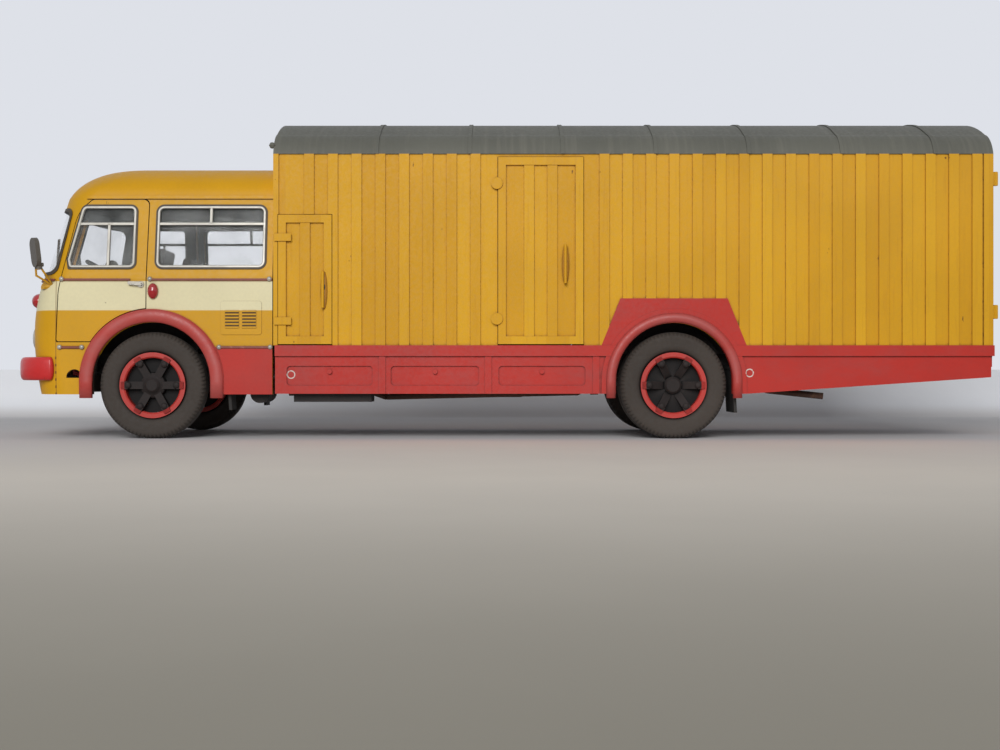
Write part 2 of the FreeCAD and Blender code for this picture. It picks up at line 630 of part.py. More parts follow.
def roof_section(offset, foot):
    """End view outline of the box roof, taken in by the offset and closed at the foot."""
    side = CAB_SIDE - offset
    shoulder_y = ROOF_SHOULDER_SIDE - offset * 0.4
    shoulder_z = ROOF_SHOULDER_HEIGHT - offset * 0.9
    top = ROOF_HEIGHT - offset
    bend = ((side + shoulder_y) / 2 + 0.8, (EAVE_HEIGHT + shoulder_z) / 2 + 0.7)
    right = [V(0, -side, foot), V(0, -side, EAVE_HEIGHT), V(0, -bend[0], bend[1]), V(0, -shoulder_y, shoulder_z)]
    left = [V(0, shoulder_y, shoulder_z), V(0, bend[0], bend[1]), V(0, side, EAVE_HEIGHT), V(0, side, foot)]
    return Part.Wire([
        Part.makeLine(right[0], right[1]),
        Part.Arc(right[1], right[2], right[3]).toShape(),
        Part.Arc(right[3], V(0, 0, top), left[0]).toShape(),
        Part.Arc(left[0], left[1], left[2]).toShape(),
        Part.makeLine(left[2], left[3]),
        Part.makeLine(left[3], right[0]),
    ])


def roof_form(offset, foot, x0, x1):
    """Solid with the roof's end view outline between two places along the truck."""
    face = Part.Face(roof_section(offset, foot))
    face.translate(V(x0, 0, 0))
    return face.extrude(V(x1 - x0, 0, 0))


def box_roof():
    """Curved sheet roof with cross ribs and a knob at each front eave corner."""
    sheet = roof_form(0, EAVE_HEIGHT - 0.6, BOX_TAIL, BOX_FRONT)
    sheet = sheet.cut(roof_form(ROOF_THICKNESS, EAVE_HEIGHT - 2, BOX_TAIL + BOX_WALL, BOX_FRONT - BOX_WALL))
    below = block(BOX_TAIL - 1, BOX_FRONT + 1, -REACH, REACH, 0, EAVE_HEIGHT)
    sheet = sheet.cut(below)
    ribs = []
    for index in range(RIB_COUNT):
        middle = FIRST_RIB - RIB_PITCH * index
        ribs.append(roof_form(-ROOF_RIB_HEIGHT, EAVE_HEIGHT - 0.5, middle - ROOF_RIB_WIDTH / 2, middle + ROOF_RIB_WIDTH / 2))
    inside = roof_form(ROOF_THICKNESS / 2, EAVE_HEIGHT - 1, BOX_TAIL - 1, BOX_FRONT + 1)
    ribs = [rib.cut([inside, below]) for rib in ribs]
    roof = sheet.fuse(ribs)
    knobs = [bead(0.8, (BOX_FRONT + 0.4, side, 71.4)) for side in (27.9, -27.9)]
    return roof.fuse(knobs)


def batten_places(start, stop):
    """Even batten centres between two places, near the named pitch."""
    count = max(1, round(abs(stop - start) / BATTEN_PITCH))
    step = (stop - start) / count
    return [start + step * index for index in range(count + 1)]


def boarded_side():
    """Left side of the box: boards with upright battens, open at both doors."""
    wall = block(BOX_TAIL, BOX_FRONT, WALL_INSIDE, BOARD_FACE, RAIL_TOP, EAVE_HEIGHT)
    battens = [block(BOX_FRONT - 1.3, BOX_FRONT, BOARD_FACE, BATTEN_FACE, RAIL_TOP, EAVE_HEIGHT)]
    battens.append(block(BOX_TAIL, BOX_TAIL + 2.3, BOARD_FACE, BATTEN_FACE, RAIL_TOP, EAVE_HEIGHT))
    places = batten_places(LOCKER_BACK + 5.5, SIDE_DOOR_FRONT + 5.5)
    places += batten_places(SIDE_DOOR_BACK - 5.1, BOX_TAIL + 3.9)
    for place in places:
        battens.append(block(place - BATTEN_WIDTH / 2, place + BATTEN_WIDTH / 2, BOARD_FACE, BATTEN_FACE, RAIL_TOP, EAVE_HEIGHT))
    wall = wall.fuse(battens)
    reach = (WALL_INSIDE - 1, REACH)
    wall = wall.cut([
        block(LOCKER_BACK - DOOR_GAP, LOCKER_FRONT + DOOR_GAP, *reach, RAIL_TOP - 1, LOCKER_TOP + DOOR_GAP),
        block(SIDE_DOOR_BACK - DOOR_GAP, SIDE_DOOR_FRONT + DOOR_GAP, *reach, RAIL_TOP - 1, SIDE_DOOR_TOP + DOOR_GAP),
        arch(REAR_AXLE, REAR_ARCH_OPENING, 0.0, *reach),
        haunch_plate(BOARD_FACE, REACH),
    ])
    return wall.removeSplitter()


def boarded_door(x0, x1, top, strips):
    """Door of the left side with a raised rim round its boards and upright strips between."""
    foot = RAIL_TOP + 0.3
    rim = 1.9
    plate = block(x0, x1, BOARD_FACE - DOOR_THICKNESS, BOARD_FACE - 0.1, foot, top)
    frame = block(x0, x1, BOARD_FACE - 0.1, BATTEN_FACE + 0.1, foot, top)
    frame = frame.cut(block(x0 + rim, x1 - rim, BOARD_FACE - 1, BATTEN_FACE + 1, foot + rim, top - rim))
    pieces = [frame]
    step = (x1 - x0 - 2 * rim) / (strips + 1)
    for index in range(1, strips + 1):
        middle = x0 + rim + step * index
        pieces.append(block(middle - 1.2, middle + 1.2, BOARD_FACE - 0.1, BATTEN_FACE - 0.1, foot, top))
    return plate.fuse(pieces).removeSplitter()


def box_front_wall():
    """Front bulkhead of the box, up into the roof's curve."""
    wall = roof_form(ROOF_THICKNESS, RAIL_TOP, BOX_FRONT - BOX_WALL, BOX_FRONT)
    return wall.common(block(-100, 0, -WALL_INSIDE, WALL_INSIDE, RAIL_TOP, EAVE_HEIGHT))


def box_rear_frame():
    """Tail frame round the rear doors."""
    wall = block(BOX_TAIL, BOX_TAIL + BOX_WALL, -WALL_INSIDE, WALL_INSIDE, RAIL_TOP, EAVE_HEIGHT)
    hole = block(BOX_TAIL - 1, BOX_TAIL + 3, -REAR_DOOR_SIDE - DOOR_GAP, REAR_DOOR_SIDE + DOOR_GAP, RAIL_TOP - 1,
                 SIDE_DOOR_TOP + DOOR_GAP)
    return wall.cut(hole)


def rear_doors():
    """Pair of boarded doors that close the tail."""
    foot = RAIL_TOP + 0.3
    rim = 1.9
    leaf = block(BOX_TAIL + 0.3, BOX_TAIL + 1.5, 0.15, REAR_DOOR_SIDE, foot, SIDE_DOOR_TOP)
    frame = block(BOX_TAIL - 0.2, BOX_TAIL + 0.3, 0.15, REAR_DOOR_SIDE, foot, SIDE_DOOR_TOP)
    frame = frame.cut(block(BOX_TAIL - 1, BOX_TAIL + 1, 0.15 + rim, REAR_DOOR_SIDE - rim, foot + rim, SIDE_DOOR_TOP - rim))
    strips = []
    for index in range(1, 5):
        middle = 0.15 + rim + (REAR_DOOR_SIDE - 0.15 - 2 * rim) / 5 * index
        strips.append(block(BOX_TAIL - 0.1, BOX_TAIL + 0.3, middle - 0.9, middle + 0.9, foot, SIDE_DOOR_TOP))
    return both_sides(leaf.fuse([frame] + strips).removeSplitter())


def door_hinges():
    """Strap hinges of the locker, side and rear doors."""
    pieces = []
    for height in (28.6, 48.9):
        pieces.append(block(LOCKER_FRONT - 3.2, LOCKER_FRONT + 0.9, BATTEN_FACE + 0.1, BATTEN_FACE + 0.5, height - 0.9, height + 0.9))
    for height in (29.1, 62.0):
        pieces.append(Part.makeCylinder(1.4, 0.45, V(SIDE_DOOR_FRONT + 0.3, BATTEN_FACE + 0.1, height), V(0, 1, 0)))
    for height in (30.9, 63.4):
        leaf = block(REAR_END, BOX_TAIL, WALL_INSIDE - 1.0, WALL_INSIDE - 0.4, height - 1.5, height + 1.5)
        pin = bar(0.5, (REAR_END + 0.5, WALL_INSIDE - 0.7, height - 1.7), (REAR_END + 0.5, WALL_INSIDE - 0.7, height + 1.7))
        pieces.append(leaf.fuse(pin))
    return Part.makeCompound(pieces + [mirrored(piece) for piece in pieces])


def box_handles(doors):
    """Long pull handles of the locker, side and rear doors, their feet trimmed to the doors."""
    pieces = []
    face = BATTEN_FACE + 0.9
    for place, low, high in ((LOCKER_BACK + 2.1, 31.8, 40.6), (SIDE_DOOR_BACK + 4.4, 37.7, 47.2)):
        feet = [bar(0.3, (place, BOARD_FACE - 0.1, z), (place, face, z)) for z in (low + 0.5, high - 0.5)]
        pieces.append(bar(0.35, (place, face, low), (place, face, high)).fuse(feet))
    face = BOX_TAIL - 1.0
    feet = [bar(0.3, (face, 1.4, z), (BOX_TAIL + 0.3, 1.4, z)) for z in (38.6, 46.4)]
    pieces.append(bar(0.35, (face, 1.4, 38.0), (face, 1.4, 47.0)).fuse(feet))
    pieces = [piece.cut(doors) for piece in pieces]
    return Part.makeCompound(pieces + [mirrored(piece) for piece in pieces])


def haunch_plate(y0, y1):
    """Raised panel over the rear wheel with sloping ends."""
    top = ARCH_CENTRE_HEIGHT + REAR_ARCH_LIP + 2.5
    corners = [
        (REAR_AXLE + REAR_ARCH_LIP, RAIL_TOP), (REAR_AXLE + 13.0, top), (REAR_AXLE - 13.0, top),
        (REAR_AXLE - REAR_ARCH_LIP, RAIL_TOP),
    ]
    return side_plate(corners, 0, y0, y1)


def sill():
    """Left skirt under the box with its rail, recessed panels, wheel arch and rising tail."""
    inner = BOARD_FACE - BOX_WALL
    rail = block(BOX_TAIL - 0.2, BOX_FRONT - 0.4, inner, BATTEN_FACE + RAIL_PROUD, RAIL_BOTTOM, RAIL_TOP)
    skirt = side_plate(
        [(BOX_FRONT - 0.4, SILL_BOTTOM), (BOX_FRONT - 0.4, RAIL_BOTTOM), (BOX_TAIL + 0.4, RAIL_BOTTOM),
         (BOX_TAIL + 0.4, SILL_BOTTOM + TAIL_SKIRT_RISE), (TAIL_SKIRT_FRONT, SILL_BOTTOM)],
        0, inner, BOARD_FACE)
    haunch = haunch_plate(BOARD_FACE, BATTEN_FACE + 0.05)
    lip = arch(REAR_AXLE, REAR_ARCH_LIP, SILL_BOTTOM, BOARD_FACE, BATTEN_FACE + 0.2)
    flange = arch(REAR_AXLE, REAR_ARCH_FLANGE, SILL_BOTTOM, BOARD_FACE, BATTEN_FACE + ARCH_PROUD)
    frames = []
    for front, back in ((-32.7, -53.6), (-58.0, -79.5), (-84.2, -105.3)):
        ring = side_plate([(back, 12.9), (front, 12.9), (front, 17.7), (back, 17.7)], 0.9, BOARD_FACE - 0.5, BOARD_FACE + 1)
        skirt = skirt.cut(ring)
        lock = Part.makeCylinder(0.55, 0.7, V((front + back) / 2, BOARD_FACE - 0.5, 16.3), V(0, 1, 0))
        frames.append(lock)
    for post in (-55.95, -81.7, -107.9):
        frames.append(block(post - 0.8, post + 0.8, BOARD_FACE - 0.1, BOARD_FACE + 0.3, SILL_BOTTOM, RAIL_BOTTOM))
    body = rail.fuse([skirt, haunch, lip, flange] + frames)
    well = arch(REAR_AXLE, REAR_ARCH_OPENING, 0.0, inner - 1, REACH)
    return body.cut(well).removeSplitter()


def box_floor():
    """Floor of the box between its sides, open above the rear wheels."""
    slab = block(BOX_TAIL + BOX_WALL, BOX_FRONT - BOX_WALL, -WALL_INSIDE + 0.1, WALL_INSIDE - 0.1, FRAME_TOP, RAIL_TOP)
    well = arch(REAR_AXLE, REAR_ARCH_OPENING + 0.6, 0.0, 14.5, REACH)
    hood = arch(REAR_AXLE, REAR_ARCH_OPENING + 1.4, RAIL_TOP - 1, 13.9, WALL_INSIDE - 0.1)
    hoods = [hood, mirrored(hood)]
    hole = rod(MOUNT_BORE_RADIUS + 0.3, (REAR_MOUNT, 0, FRAME_TOP - 1), (REAR_MOUNT, 0, RAIL_TOP + 1))
    return slab.fuse(hoods).cut([well, mirrored(well), hole]).removeSplitter()


def chassis_frame():
    """Two long rails with cross members and the two mounting bosses."""
    rails = []
    for side in (FRAME_RAIL_SIDE - FRAME_RAIL_WIDTH, -FRAME_RAIL_SIDE):
        rails.append(block(BOX_TAIL + 2, FRAME_FRONT, side, side + FRAME_RAIL_WIDTH, FRAME_BOTTOM, FRAME_TOP))
    inner = FRAME_RAIL_SIDE - FRAME_RAIL_WIDTH
    members = []
    for place in (FRONT_MOUNT, -24.0, -49.0, -74.0, -100.0, -150.0, -196.0):
        members.append(block(place - 1.2, place + 1.2, -inner, inner, FRAME_BOTTOM + 0.6, FRAME_TOP - 0.6))
    for place in (FRONT_MOUNT, REAR_MOUNT):
        members.append(block(place - 4.2, place + 4.2, -inner, inner, FRAME_TOP - 1.4, FRAME_TOP))
        members.append(Part.makeCylinder(MOUNT_BOSS_RADIUS, FRAME_TOP - FRAME_BOTTOM + 1.0, V(place, 0, FRAME_BOTTOM - 1.0)))
    frame = rails[0].fuse(rails[1:] + members)
    bores = [
        Part.makeCylinder(MOUNT_BORE_RADIUS, FRAME_TOP - FRAME_BOTTOM + 4, V(place, 0, FRAME_BOTTOM - 2))
        for place in (FRONT_MOUNT, REAR_MOUNT)
    ]
    return frame.cut(bores).removeSplitter()


def axle(place, length, beam_radius):
    """Axle rod with its moulded beam."""
    shaft = rod(AXLE_RADIUS, (place, -length, TYRE_RADIUS), (place, length, TYRE_RADIUS))
    beam = rod(beam_radius, (place, -12.5, TYRE_RADIUS), (place, 12.5, TYRE_RADIUS))
    return shaft.fuse(beam)


def front_axle():
    """Front axle with its beam."""
    return axle(0, WHEEL_FACE - FRONT_BORE_DEPTH - AXLE_END_GAP, FRONT_BEAM_RADIUS)


def rear_axle():
    """Rear axle with its bowl shaped gear housing."""
    rings = [(-3.8, 0.0), (-3.5, 2.4), (-1.7, 4.4), (1.7, 4.4), (3.3, 2.6), (4.3, 1.6), (4.3, 0.0)]
    outline = [V(REAR_AXLE + along, 0, TYRE_RADIUS + radius) for along, radius in rings]
    bowl = Part.Face(Part.makePolygon(outline + outline[:1])).revolve(V(REAR_AXLE, 0, TYRE_RADIUS), V(1, 0, 0), 360)
    return axle(REAR_AXLE, WHEEL_FACE - REAR_BORE_DEPTH - AXLE_END_GAP, REAR_BEAM_RADIUS).fuse(bowl)


def leaf_spring(place, half, seat_height):
    """Left spring of one axle: leaves of the same curve, each shorter than the one above, with end brackets."""
    rise = FRAME_BOTTOM - 0.9 - seat_height - SPRING_LEAVES * LEAF_THICKNESS
    radius = (half * half + rise * rise) / (2 * rise)
    centre = V(place, 0, seat_height + SPRING_LEAVES * LEAF_THICKNESS + radius)

    def point(turn, distance):
        return centre + V(math.sin(turn), 0, -math.cos(turn)) * distance

    leaves = []
    for leaf in range(SPRING_LEAVES):
        turn = math.asin(half / radius) * (1 - 0.25 * leaf)
        upper = radius + leaf * LEAF_THICKNESS
        lower = upper + LEAF_THICKNESS
        outline = Part.Wire([
            Part.Arc(point(-turn, upper), point(0, upper), point(turn, upper)).toShape(),
            Part.makeLine(point(turn, upper), point(turn, lower)),
            Part.Arc(point(turn, lower), point(0, lower), point(-turn, lower)).toShape(),
            Part.makeLine(point(-turn, lower), point(-turn, upper)),
        ])
        face = Part.Face(outline)
        face.translate(V(0, SPRING_SIDE, 0))
        leaves.append(face.extrude(V(0, SPRING_WIDTH, 0)))
    for end in (-half, half):
        leaves.append(block(place + end - 0.8, place + end + 0.8, FRAME_RAIL_SIDE, SPRING_SIDE + SPRING_WIDTH,
                            FRAME_BOTTOM - 1.7, FRAME_BOTTOM + 1.0))
    leaves.append(block(place - 1.6, place + 1.6, SPRING_SIDE - 0.3, SPRING_SIDE + SPRING_WIDTH + 0.3,
                        seat_height - 0.5, seat_height + SPRING_LEAVES * LEAF_THICKNESS + 0.4))
    return joined(leaves)


def leaf_springs():
    """Leaf springs between the frame rails and the axles."""
    front = leaf_spring(0, FRONT_SPRING_HALF, TYRE_RADIUS + FRONT_BEAM_RADIUS + 0.5)
    rear = leaf_spring(REAR_AXLE, REAR_SPRING_HALF, TYRE_RADIUS + REAR_BEAM_RADIUS + 0.5)
    return Part.makeCompound([front, rear, mirrored(front), mirrored(rear)])


def engine_gearbox():
    """Engine, flywheel housing and gearbox as one plain casting under the cab floor."""
    body = block(-6, 20, -5.2, 5.2, 15.8, CAB_FLOOR_TOP - CAB_FLOOR_THICKNESS - 0.1)
    sump = side_plate([(4, 12.4), (18, 12.4), (20, 15.9), (2, 15.9)], 0, -4, 4)
    bell = rod(4.6, (-10, 0, 17.4), (-6, 0, 17.4))
    box = rod(3.2, (-21, 0, 16.6), (-10, 0, 17.0))
    return joined([body, sump, bell, box])


def propeller_shaft():
    """Shaft from the gearbox to the rear axle."""
    start = (-20.5, 0, 15.6)
    end = (REAR_AXLE + 4.2, 0, TYRE_RADIUS + 0.4)
    return rod(0.9, start, end).cut([engine_gearbox(), rear_axle()])


def exhaust_pipe():
    """Silencer beside the engine and its pipe, over the rear axle to an open end behind the left rear wheel."""
    silencer = rod(2.0, (-50.0, 13.2, 12.2), (-31.0, 13.2, 12.2))
    lead = bar(PIPE_RADIUS, (-14.0, 10.0, 14.4), (-31.2, 13.2, 12.2))
    route = [
        (-49.0, 13.2, 12.2), (-56.0, 16.0, 10.0), (-104.0, 16.0, 11.1), (-112.0, 14.0, 15.0), (REAR_AXLE, 14.0, 17.2),
        (-146.0, 14.2, 14.6), (-151.0, 20.5, 11.7), (-164.0, 24.5, 10.3),
    ]
    pieces = [lead]
    for start, end in zip(route, route[1:]):
        pieces.append(bar(PIPE_RADIUS, start, end))
        if end != route[-1]:
            pieces.append(bead(PIPE_RADIUS, end))
    bore = rod(PIPE_RADIUS - 0.25, (-165.0, 24.8, 10.19), (-161.0, 23.58, 10.62))
    return silencer.fuse(pieces).cut(bore)


def under_tanks():
    """Battery box, fuel tank and air tank that hang beside the frame."""
    battery = block(-53, -34, 17.5, 25.5, 8.9, 16.0)
    battery_strap = block(-45, -43, FRAME_RAIL_SIDE, 18, 15.0, 18.0)
    tank = side_plate([(-92, 9.4), (-70, 9.4), (-70, 17.0), (-92, 17.0)], 2.0, -26.5, -16.0)
    tank_straps = [block(x, x + 1.4, -17, -FRAME_RAIL_SIDE, 15.0, 18.0) for x in (-88, -76)]
    air = rod(2.4, (-25.6, 14.4, 11.0), (-25.6, 25.0, 11.0))
    air_strap = block(-26.4, -24.8, FRAME_RAIL_SIDE, 15.5, 15.2, 18.0).fuse(block(-26.4, -24.8, 14.6, 15.5, 12.0, 15.4))
    return Part.makeCompound([battery.fuse(battery_strap), tank.fuse(tank_straps), air.fuse(air_strap)])


def mudflaps():
    """Rubber flaps behind the wheels, hung from brackets at the frame."""
    flaps = []
    for place, foot, inner in ((-18.2, 7.0, 21.5), (REAR_AXLE - 14.6, 6.3, 15.5)):
        sheet = side_plate([(place - 1.0, foot), (place - 0.3, foot), (place + 0.4, 17.0), (place - 0.3, 17.0)], 0, inner, 27.3)
        arm = bar(0.6, (place, FRAME_RAIL_SIDE, 17.6), (place, 27.0, 17.0))
        flaps.append(sheet.fuse(arm.cut(leaf_springs())))
    return Part.makeCompound(flaps + [mirrored(flap) for flap in flaps])


def rear_beam():
    """Red beam across the tail under the doors, with a pin type coupling."""
    side = BOARD_FACE - BOX_WALL
    beam = block(BOX_TAIL - 0.2, BOX_TAIL + BOX_WALL, -side, side, RAIL_BOTTOM - 2.6, RAIL_TOP)
    jaw = block(BOX_TAIL - 1.6, BOX_TAIL, -2.2, 2.2, 17.6, 21.4).cut(block(BOX_TAIL - 3, BOX_TAIL - 0.5, -3, 3, 18.8, 20.2))
    pin = rod(0.55, (BOX_TAIL - 1.0, 0, 18.0), (BOX_TAIL - 1.0, 0, 22.0))
    return joined([beam, jaw, pin])


def tail_lamps():
    """Round tail lamps on the beam."""
    lamps = []
    for side, radius in ((24.5, 1.3), (21.0, 1.3)):
        lamps.append(rod(radius, (BOX_TAIL - 0.9, side, 20.4), (BOX_TAIL - 0.2, side, 20.4)))
    return Part.makeCompound(lamps + [mirrored(lamp) for lamp in lamps])


def turned(points, place, y_face):
    """Ring turned about a wheel's axis; each point is a depth from the outer face and a radius."""
    wire = Part.makePolygon([V(place, y_face - depth, TYRE_RADIUS + radius) for depth, radius in points + points[:1]])
    return Part.Face(wire).revolve(V(place, 0, TYRE_RADIUS), V(0, 1, 0), 360)


def tyre(place, face):
    """Tyre with rounded shoulders and bulged walls."""
    width = TYRE_WIDTH
    points = [
        (0.6, TYRE_BEAD_RADIUS), (0.0, TYRE_BEAD_RADIUS + 1.6), (0.1, TYRE_RADIUS - 1.2), (0.7, TYRE_RADIUS - 0.15),
        (1.1, TYRE_RADIUS), (width - 1.1, TYRE_RADIUS), (width - 0.7, TYRE_RADIUS - 0.15),
        (width - 0.1, TYRE_RADIUS - 1.2), (width, TYRE_BEAD_RADIUS + 1.6), (width - 0.6, TYRE_BEAD_RADIUS),
    ]
    return turned(points, place, face)


def rim(place, face):
    """Ring that the tyre sits on, with a flange each side."""
    width = TYRE_WIDTH
    points = [
        (0.5, RIM_EYE_RADIUS), (0.25, RIM_EYE_RADIUS + 0.3), (0.25, TYRE_BEAD_RADIUS), (0.6, TYRE_BEAD_RADIUS),
        (width - 0.6, TYRE_BEAD_RADIUS), (width - 0.25, TYRE_BEAD_RADIUS), (width - 0.25, RIM_EYE_RADIUS + 0.3),
        (width - 0.5, RIM_EYE_RADIUS),
    ]
    return turned(points, place, face)


def spider(place, face, dish, depth, bore_depth):
    """Six armed hub whose arms clamp the rim; the dish is how far its middle lies behind the rim's face."""
    points = [
        (dish, 0.0), (dish, 1.6), (dish + 0.3, 2.1), (dish + 0.8, HUB_RADIUS), (depth, HUB_RADIUS + 0.6), (depth, 0.0),
    ]
    body = turned(points, place, face)
    tip = RIM_EYE_RADIUS - 0.1
    sunk = max(dish, 0.3)
    arms = []
    for index in range(SPOKE_COUNT):
        outline = [(face - 0.25, tip), (face - 0.25, tip - 1.0), (face - sunk - 0.2, 2.0), (face - sunk - 1.9, 2.0),
                   (face - 2.2, tip)]
        arm = end_plate(outline, 0, -ARM_WIDTH / 2, ARM_WIDTH / 2)
        clamp = side_plate([(-0.95, tip - 0.7), (0.95, tip - 0.7), (0.8, tip + 1.0), (-0.8, tip + 1.0)],
                           0, face - 0.25, face + 0.15)
        arm = arm.fuse(clamp)
        arm.rotate(V(0, 0, 0), V(0, 1, 0), 30 + 360 / SPOKE_COUNT * index)
        arm.translate(V(place, 0, TYRE_RADIUS))
        arms.append(arm)
    web = turned([(depth - 2.2, 0), (depth - 2.2, RIM_EYE_RADIUS - 0.05), (depth - 1.6, RIM_EYE_RADIUS - 0.05),
                  (depth - 1.6, 0)], place, face)
    bore = rod(AXLE_RADIUS + AXLE_CLEARANCE, (place, 0, TYRE_RADIUS), (place, face - bore_depth, TYRE_RADIUS))
    return body.fuse(arms + [web]).cut(bore)


def hub_cap(place, face, radius, y0, y1):
    """Round cap with a sloped edge on the middle of a hub."""
    return turned([(face - y0, 0), (face - y0, radius), (face - y1 + 0.4, radius), (face - y1, radius - 0.5),
                   (face - y1, 0)], place, face)


def front_hub():
    """Left front hub, which stands a little proud of the tyre."""
    hub = spider(0, WHEEL_FACE, 0.0, 4.6, FRONT_BORE_DEPTH)
    return hub.fuse(hub_cap(0, WHEEL_FACE, 1.8, WHEEL_FACE - 0.6, WHEEL_FACE + HUB_PROUD))


def rear_hub():
    """Left rear hub, sunk between its arms, with a round centre cap."""
    hub = spider(REAR_AXLE, WHEEL_FACE, 2.2, 4.6, REAR_BORE_DEPTH)
    drum = Part.makeCylinder(HUB_RADIUS, TWIN_PITCH, V(REAR_AXLE, WHEEL_FACE - 4.5 - TWIN_PITCH, TYRE_RADIUS), V(0, 1, 0))
    web = turned([(TWIN_PITCH + 2.0, 0), (TWIN_PITCH + 2.0, RIM_EYE_RADIUS - 0.05), (TWIN_PITCH + 2.6, RIM_EYE_RADIUS - 0.05),
                  (TWIN_PITCH + 2.6, 0)], REAR_AXLE, WHEEL_FACE)
    bore = rod(AXLE_RADIUS + AXLE_CLEARANCE, (REAR_AXLE, 0, TYRE_RADIUS), (REAR_AXLE, WHEEL_FACE - REAR_BORE_DEPTH, TYRE_RADIUS))
    cap = hub_cap(REAR_AXLE, WHEEL_FACE, 2.1, WHEEL_FACE - 2.6, WHEEL_FACE - 1.4)
    return hub.fuse([drum, web]).cut(bore).fuse(cap)


def rear_pair(make):
    """A twin fitting: the same ring at the outer and at the inner place."""
    return Part.makeCompound([make(REAR_AXLE, WHEEL_FACE), make(REAR_AXLE, WHEEL_FACE - TWIN_PITCH)])


def put(name, shape):
    """Write one piece, moved so that the origin lies under the middle of the truck."""
    piece = shape.copy()
    piece.translate(V(-LENGTH_CENTRE, 0, 0))
    piece.exportStep(os.path.join("parts", name + ".step"))


os.makedirs("parts", exist_ok=True)
door = cab_door()
side_door = boarded_door(SIDE_DOOR_BACK, SIDE_DOOR_FRONT, SIDE_DOOR_TOP, 2)
locker_door = boarded_door(LOCKER_BACK, LOCKER_FRONT, LOCKER_TOP, 1)
tail_doors = rear_doors()
boards = boarded_side()
left_sill = sill()
wheels = {
    "front": (tyre(0, WHEEL_FACE), rim(0, WHEEL_FACE), front_hub()),
    "rear": (rear_pair(tyre), rear_pair(rim), rear_hub()),
}

put("chassis_frame", chassis_frame())
put("front_axle", front_axle())
put("rear_axle", rear_axle())
put("leaf_springs", leaf_springs())
put("engine_gearbox", engine_gearbox())
put("propeller_shaft", propeller_shaft())
put("exhaust_pipe", exhaust_pipe())
put("under_tanks", under_tanks())
put("mudflaps", mudflaps())
put("cab_shell", cab_shell())
put("cab_door_left", door)
put("cab_door_right", mirrored(door))
put("cab_floor", cab_floor())
put("dashboard", dashboard())
put("seats", seats())
put("steering_wheel", steering_wheel())
put("windscreen_glass", windscreen_glass())
put("windscreen_seal", windscreen_seal())
put("cab_side_glass", cab_side_glass())
put("cab_window_frames", cab_window_frames())
put("wipers", wipers())
put("front_bumper", bumper())
put("front_grille", front_grille())
put("headlamps", headlamps())
put("marker_lamps", marker_lamps())
put("front_arches", front_arches())
put("cab_skirts", cab_skirts())
put("vent_panels", vent_panels())
put("rub_strips", rub_strips())
put("cab_door_handles", cab_door_handles())
put("mirrors", mirrors())
put("box_floor", box_floor())
put("box_side_left", boards)
put("box_side_right", mirrored(boards))
put("box_front_wall", box_front_wall())
put("box_rear_frame", box_rear_frame())
put("box_roof", box_roof())
put("rear_doors", tail_doors)
put("side_doors", both_sides(side_door))
put("locker_doors", both_sides(locker_door))
put("door_hinges", door_hinges())
put("box_handles", box_handles([side_door, locker_door, tail_doors]))
put("sill_left", left_sill)
put("sill_right", mirrored(left_sill))
put("rear_beam", rear_beam())
put("tail_lamps", tail_lamps())
for axle_name, (wheel_tyre, wheel_rim, wheel_hub) in wheels.items():
    for side_name, side_of in (("left", lambda shape: shape), ("right", mirrored)):
        put("tyre_" + axle_name + "_" + side_name, side_of(wheel_tyre))
        put("rim_" + axle_name + "_" + side_name, side_of(wheel_rim))
        put("hub_" + axle_name + "_" + side_name, side_of(wheel_hub))
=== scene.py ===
import math
import bpy
import mathutils
import numpy as np
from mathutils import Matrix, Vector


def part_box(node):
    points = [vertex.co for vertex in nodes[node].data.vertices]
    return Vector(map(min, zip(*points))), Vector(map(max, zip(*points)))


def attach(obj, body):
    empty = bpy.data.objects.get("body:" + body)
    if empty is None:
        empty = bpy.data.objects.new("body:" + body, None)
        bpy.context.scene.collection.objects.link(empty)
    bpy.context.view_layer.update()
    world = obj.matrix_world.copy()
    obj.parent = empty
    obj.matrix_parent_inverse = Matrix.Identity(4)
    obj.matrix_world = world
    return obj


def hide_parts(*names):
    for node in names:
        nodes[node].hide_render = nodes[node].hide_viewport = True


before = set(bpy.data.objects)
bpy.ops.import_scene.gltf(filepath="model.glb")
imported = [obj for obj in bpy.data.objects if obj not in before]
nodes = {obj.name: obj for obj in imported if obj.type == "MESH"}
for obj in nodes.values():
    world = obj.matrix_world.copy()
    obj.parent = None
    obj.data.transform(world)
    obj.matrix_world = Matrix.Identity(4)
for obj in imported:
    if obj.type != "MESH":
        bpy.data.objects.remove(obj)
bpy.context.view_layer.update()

# Frame under the truck
# Two long rails with cross members carry the cab and the box, with leaf springs and a plain engine casting.
# They are black mouldings, painted by hand and fixed under both floors, with brown dust and painted shade in
# their corners.

MM = 0.001
BRUSH_LUMPS = 55
SKIN_LUMPS = 1300
SCUFF_LUMPS = 700
CHIP_LUMPS = 430
WASH_AND_SHADE_REACH = 0.9 * MM
SCUFF_REACH = 0.4 * MM
CHIP_REACH = 0.6 * MM
SKIN_DEPTH = 0.06 * MM


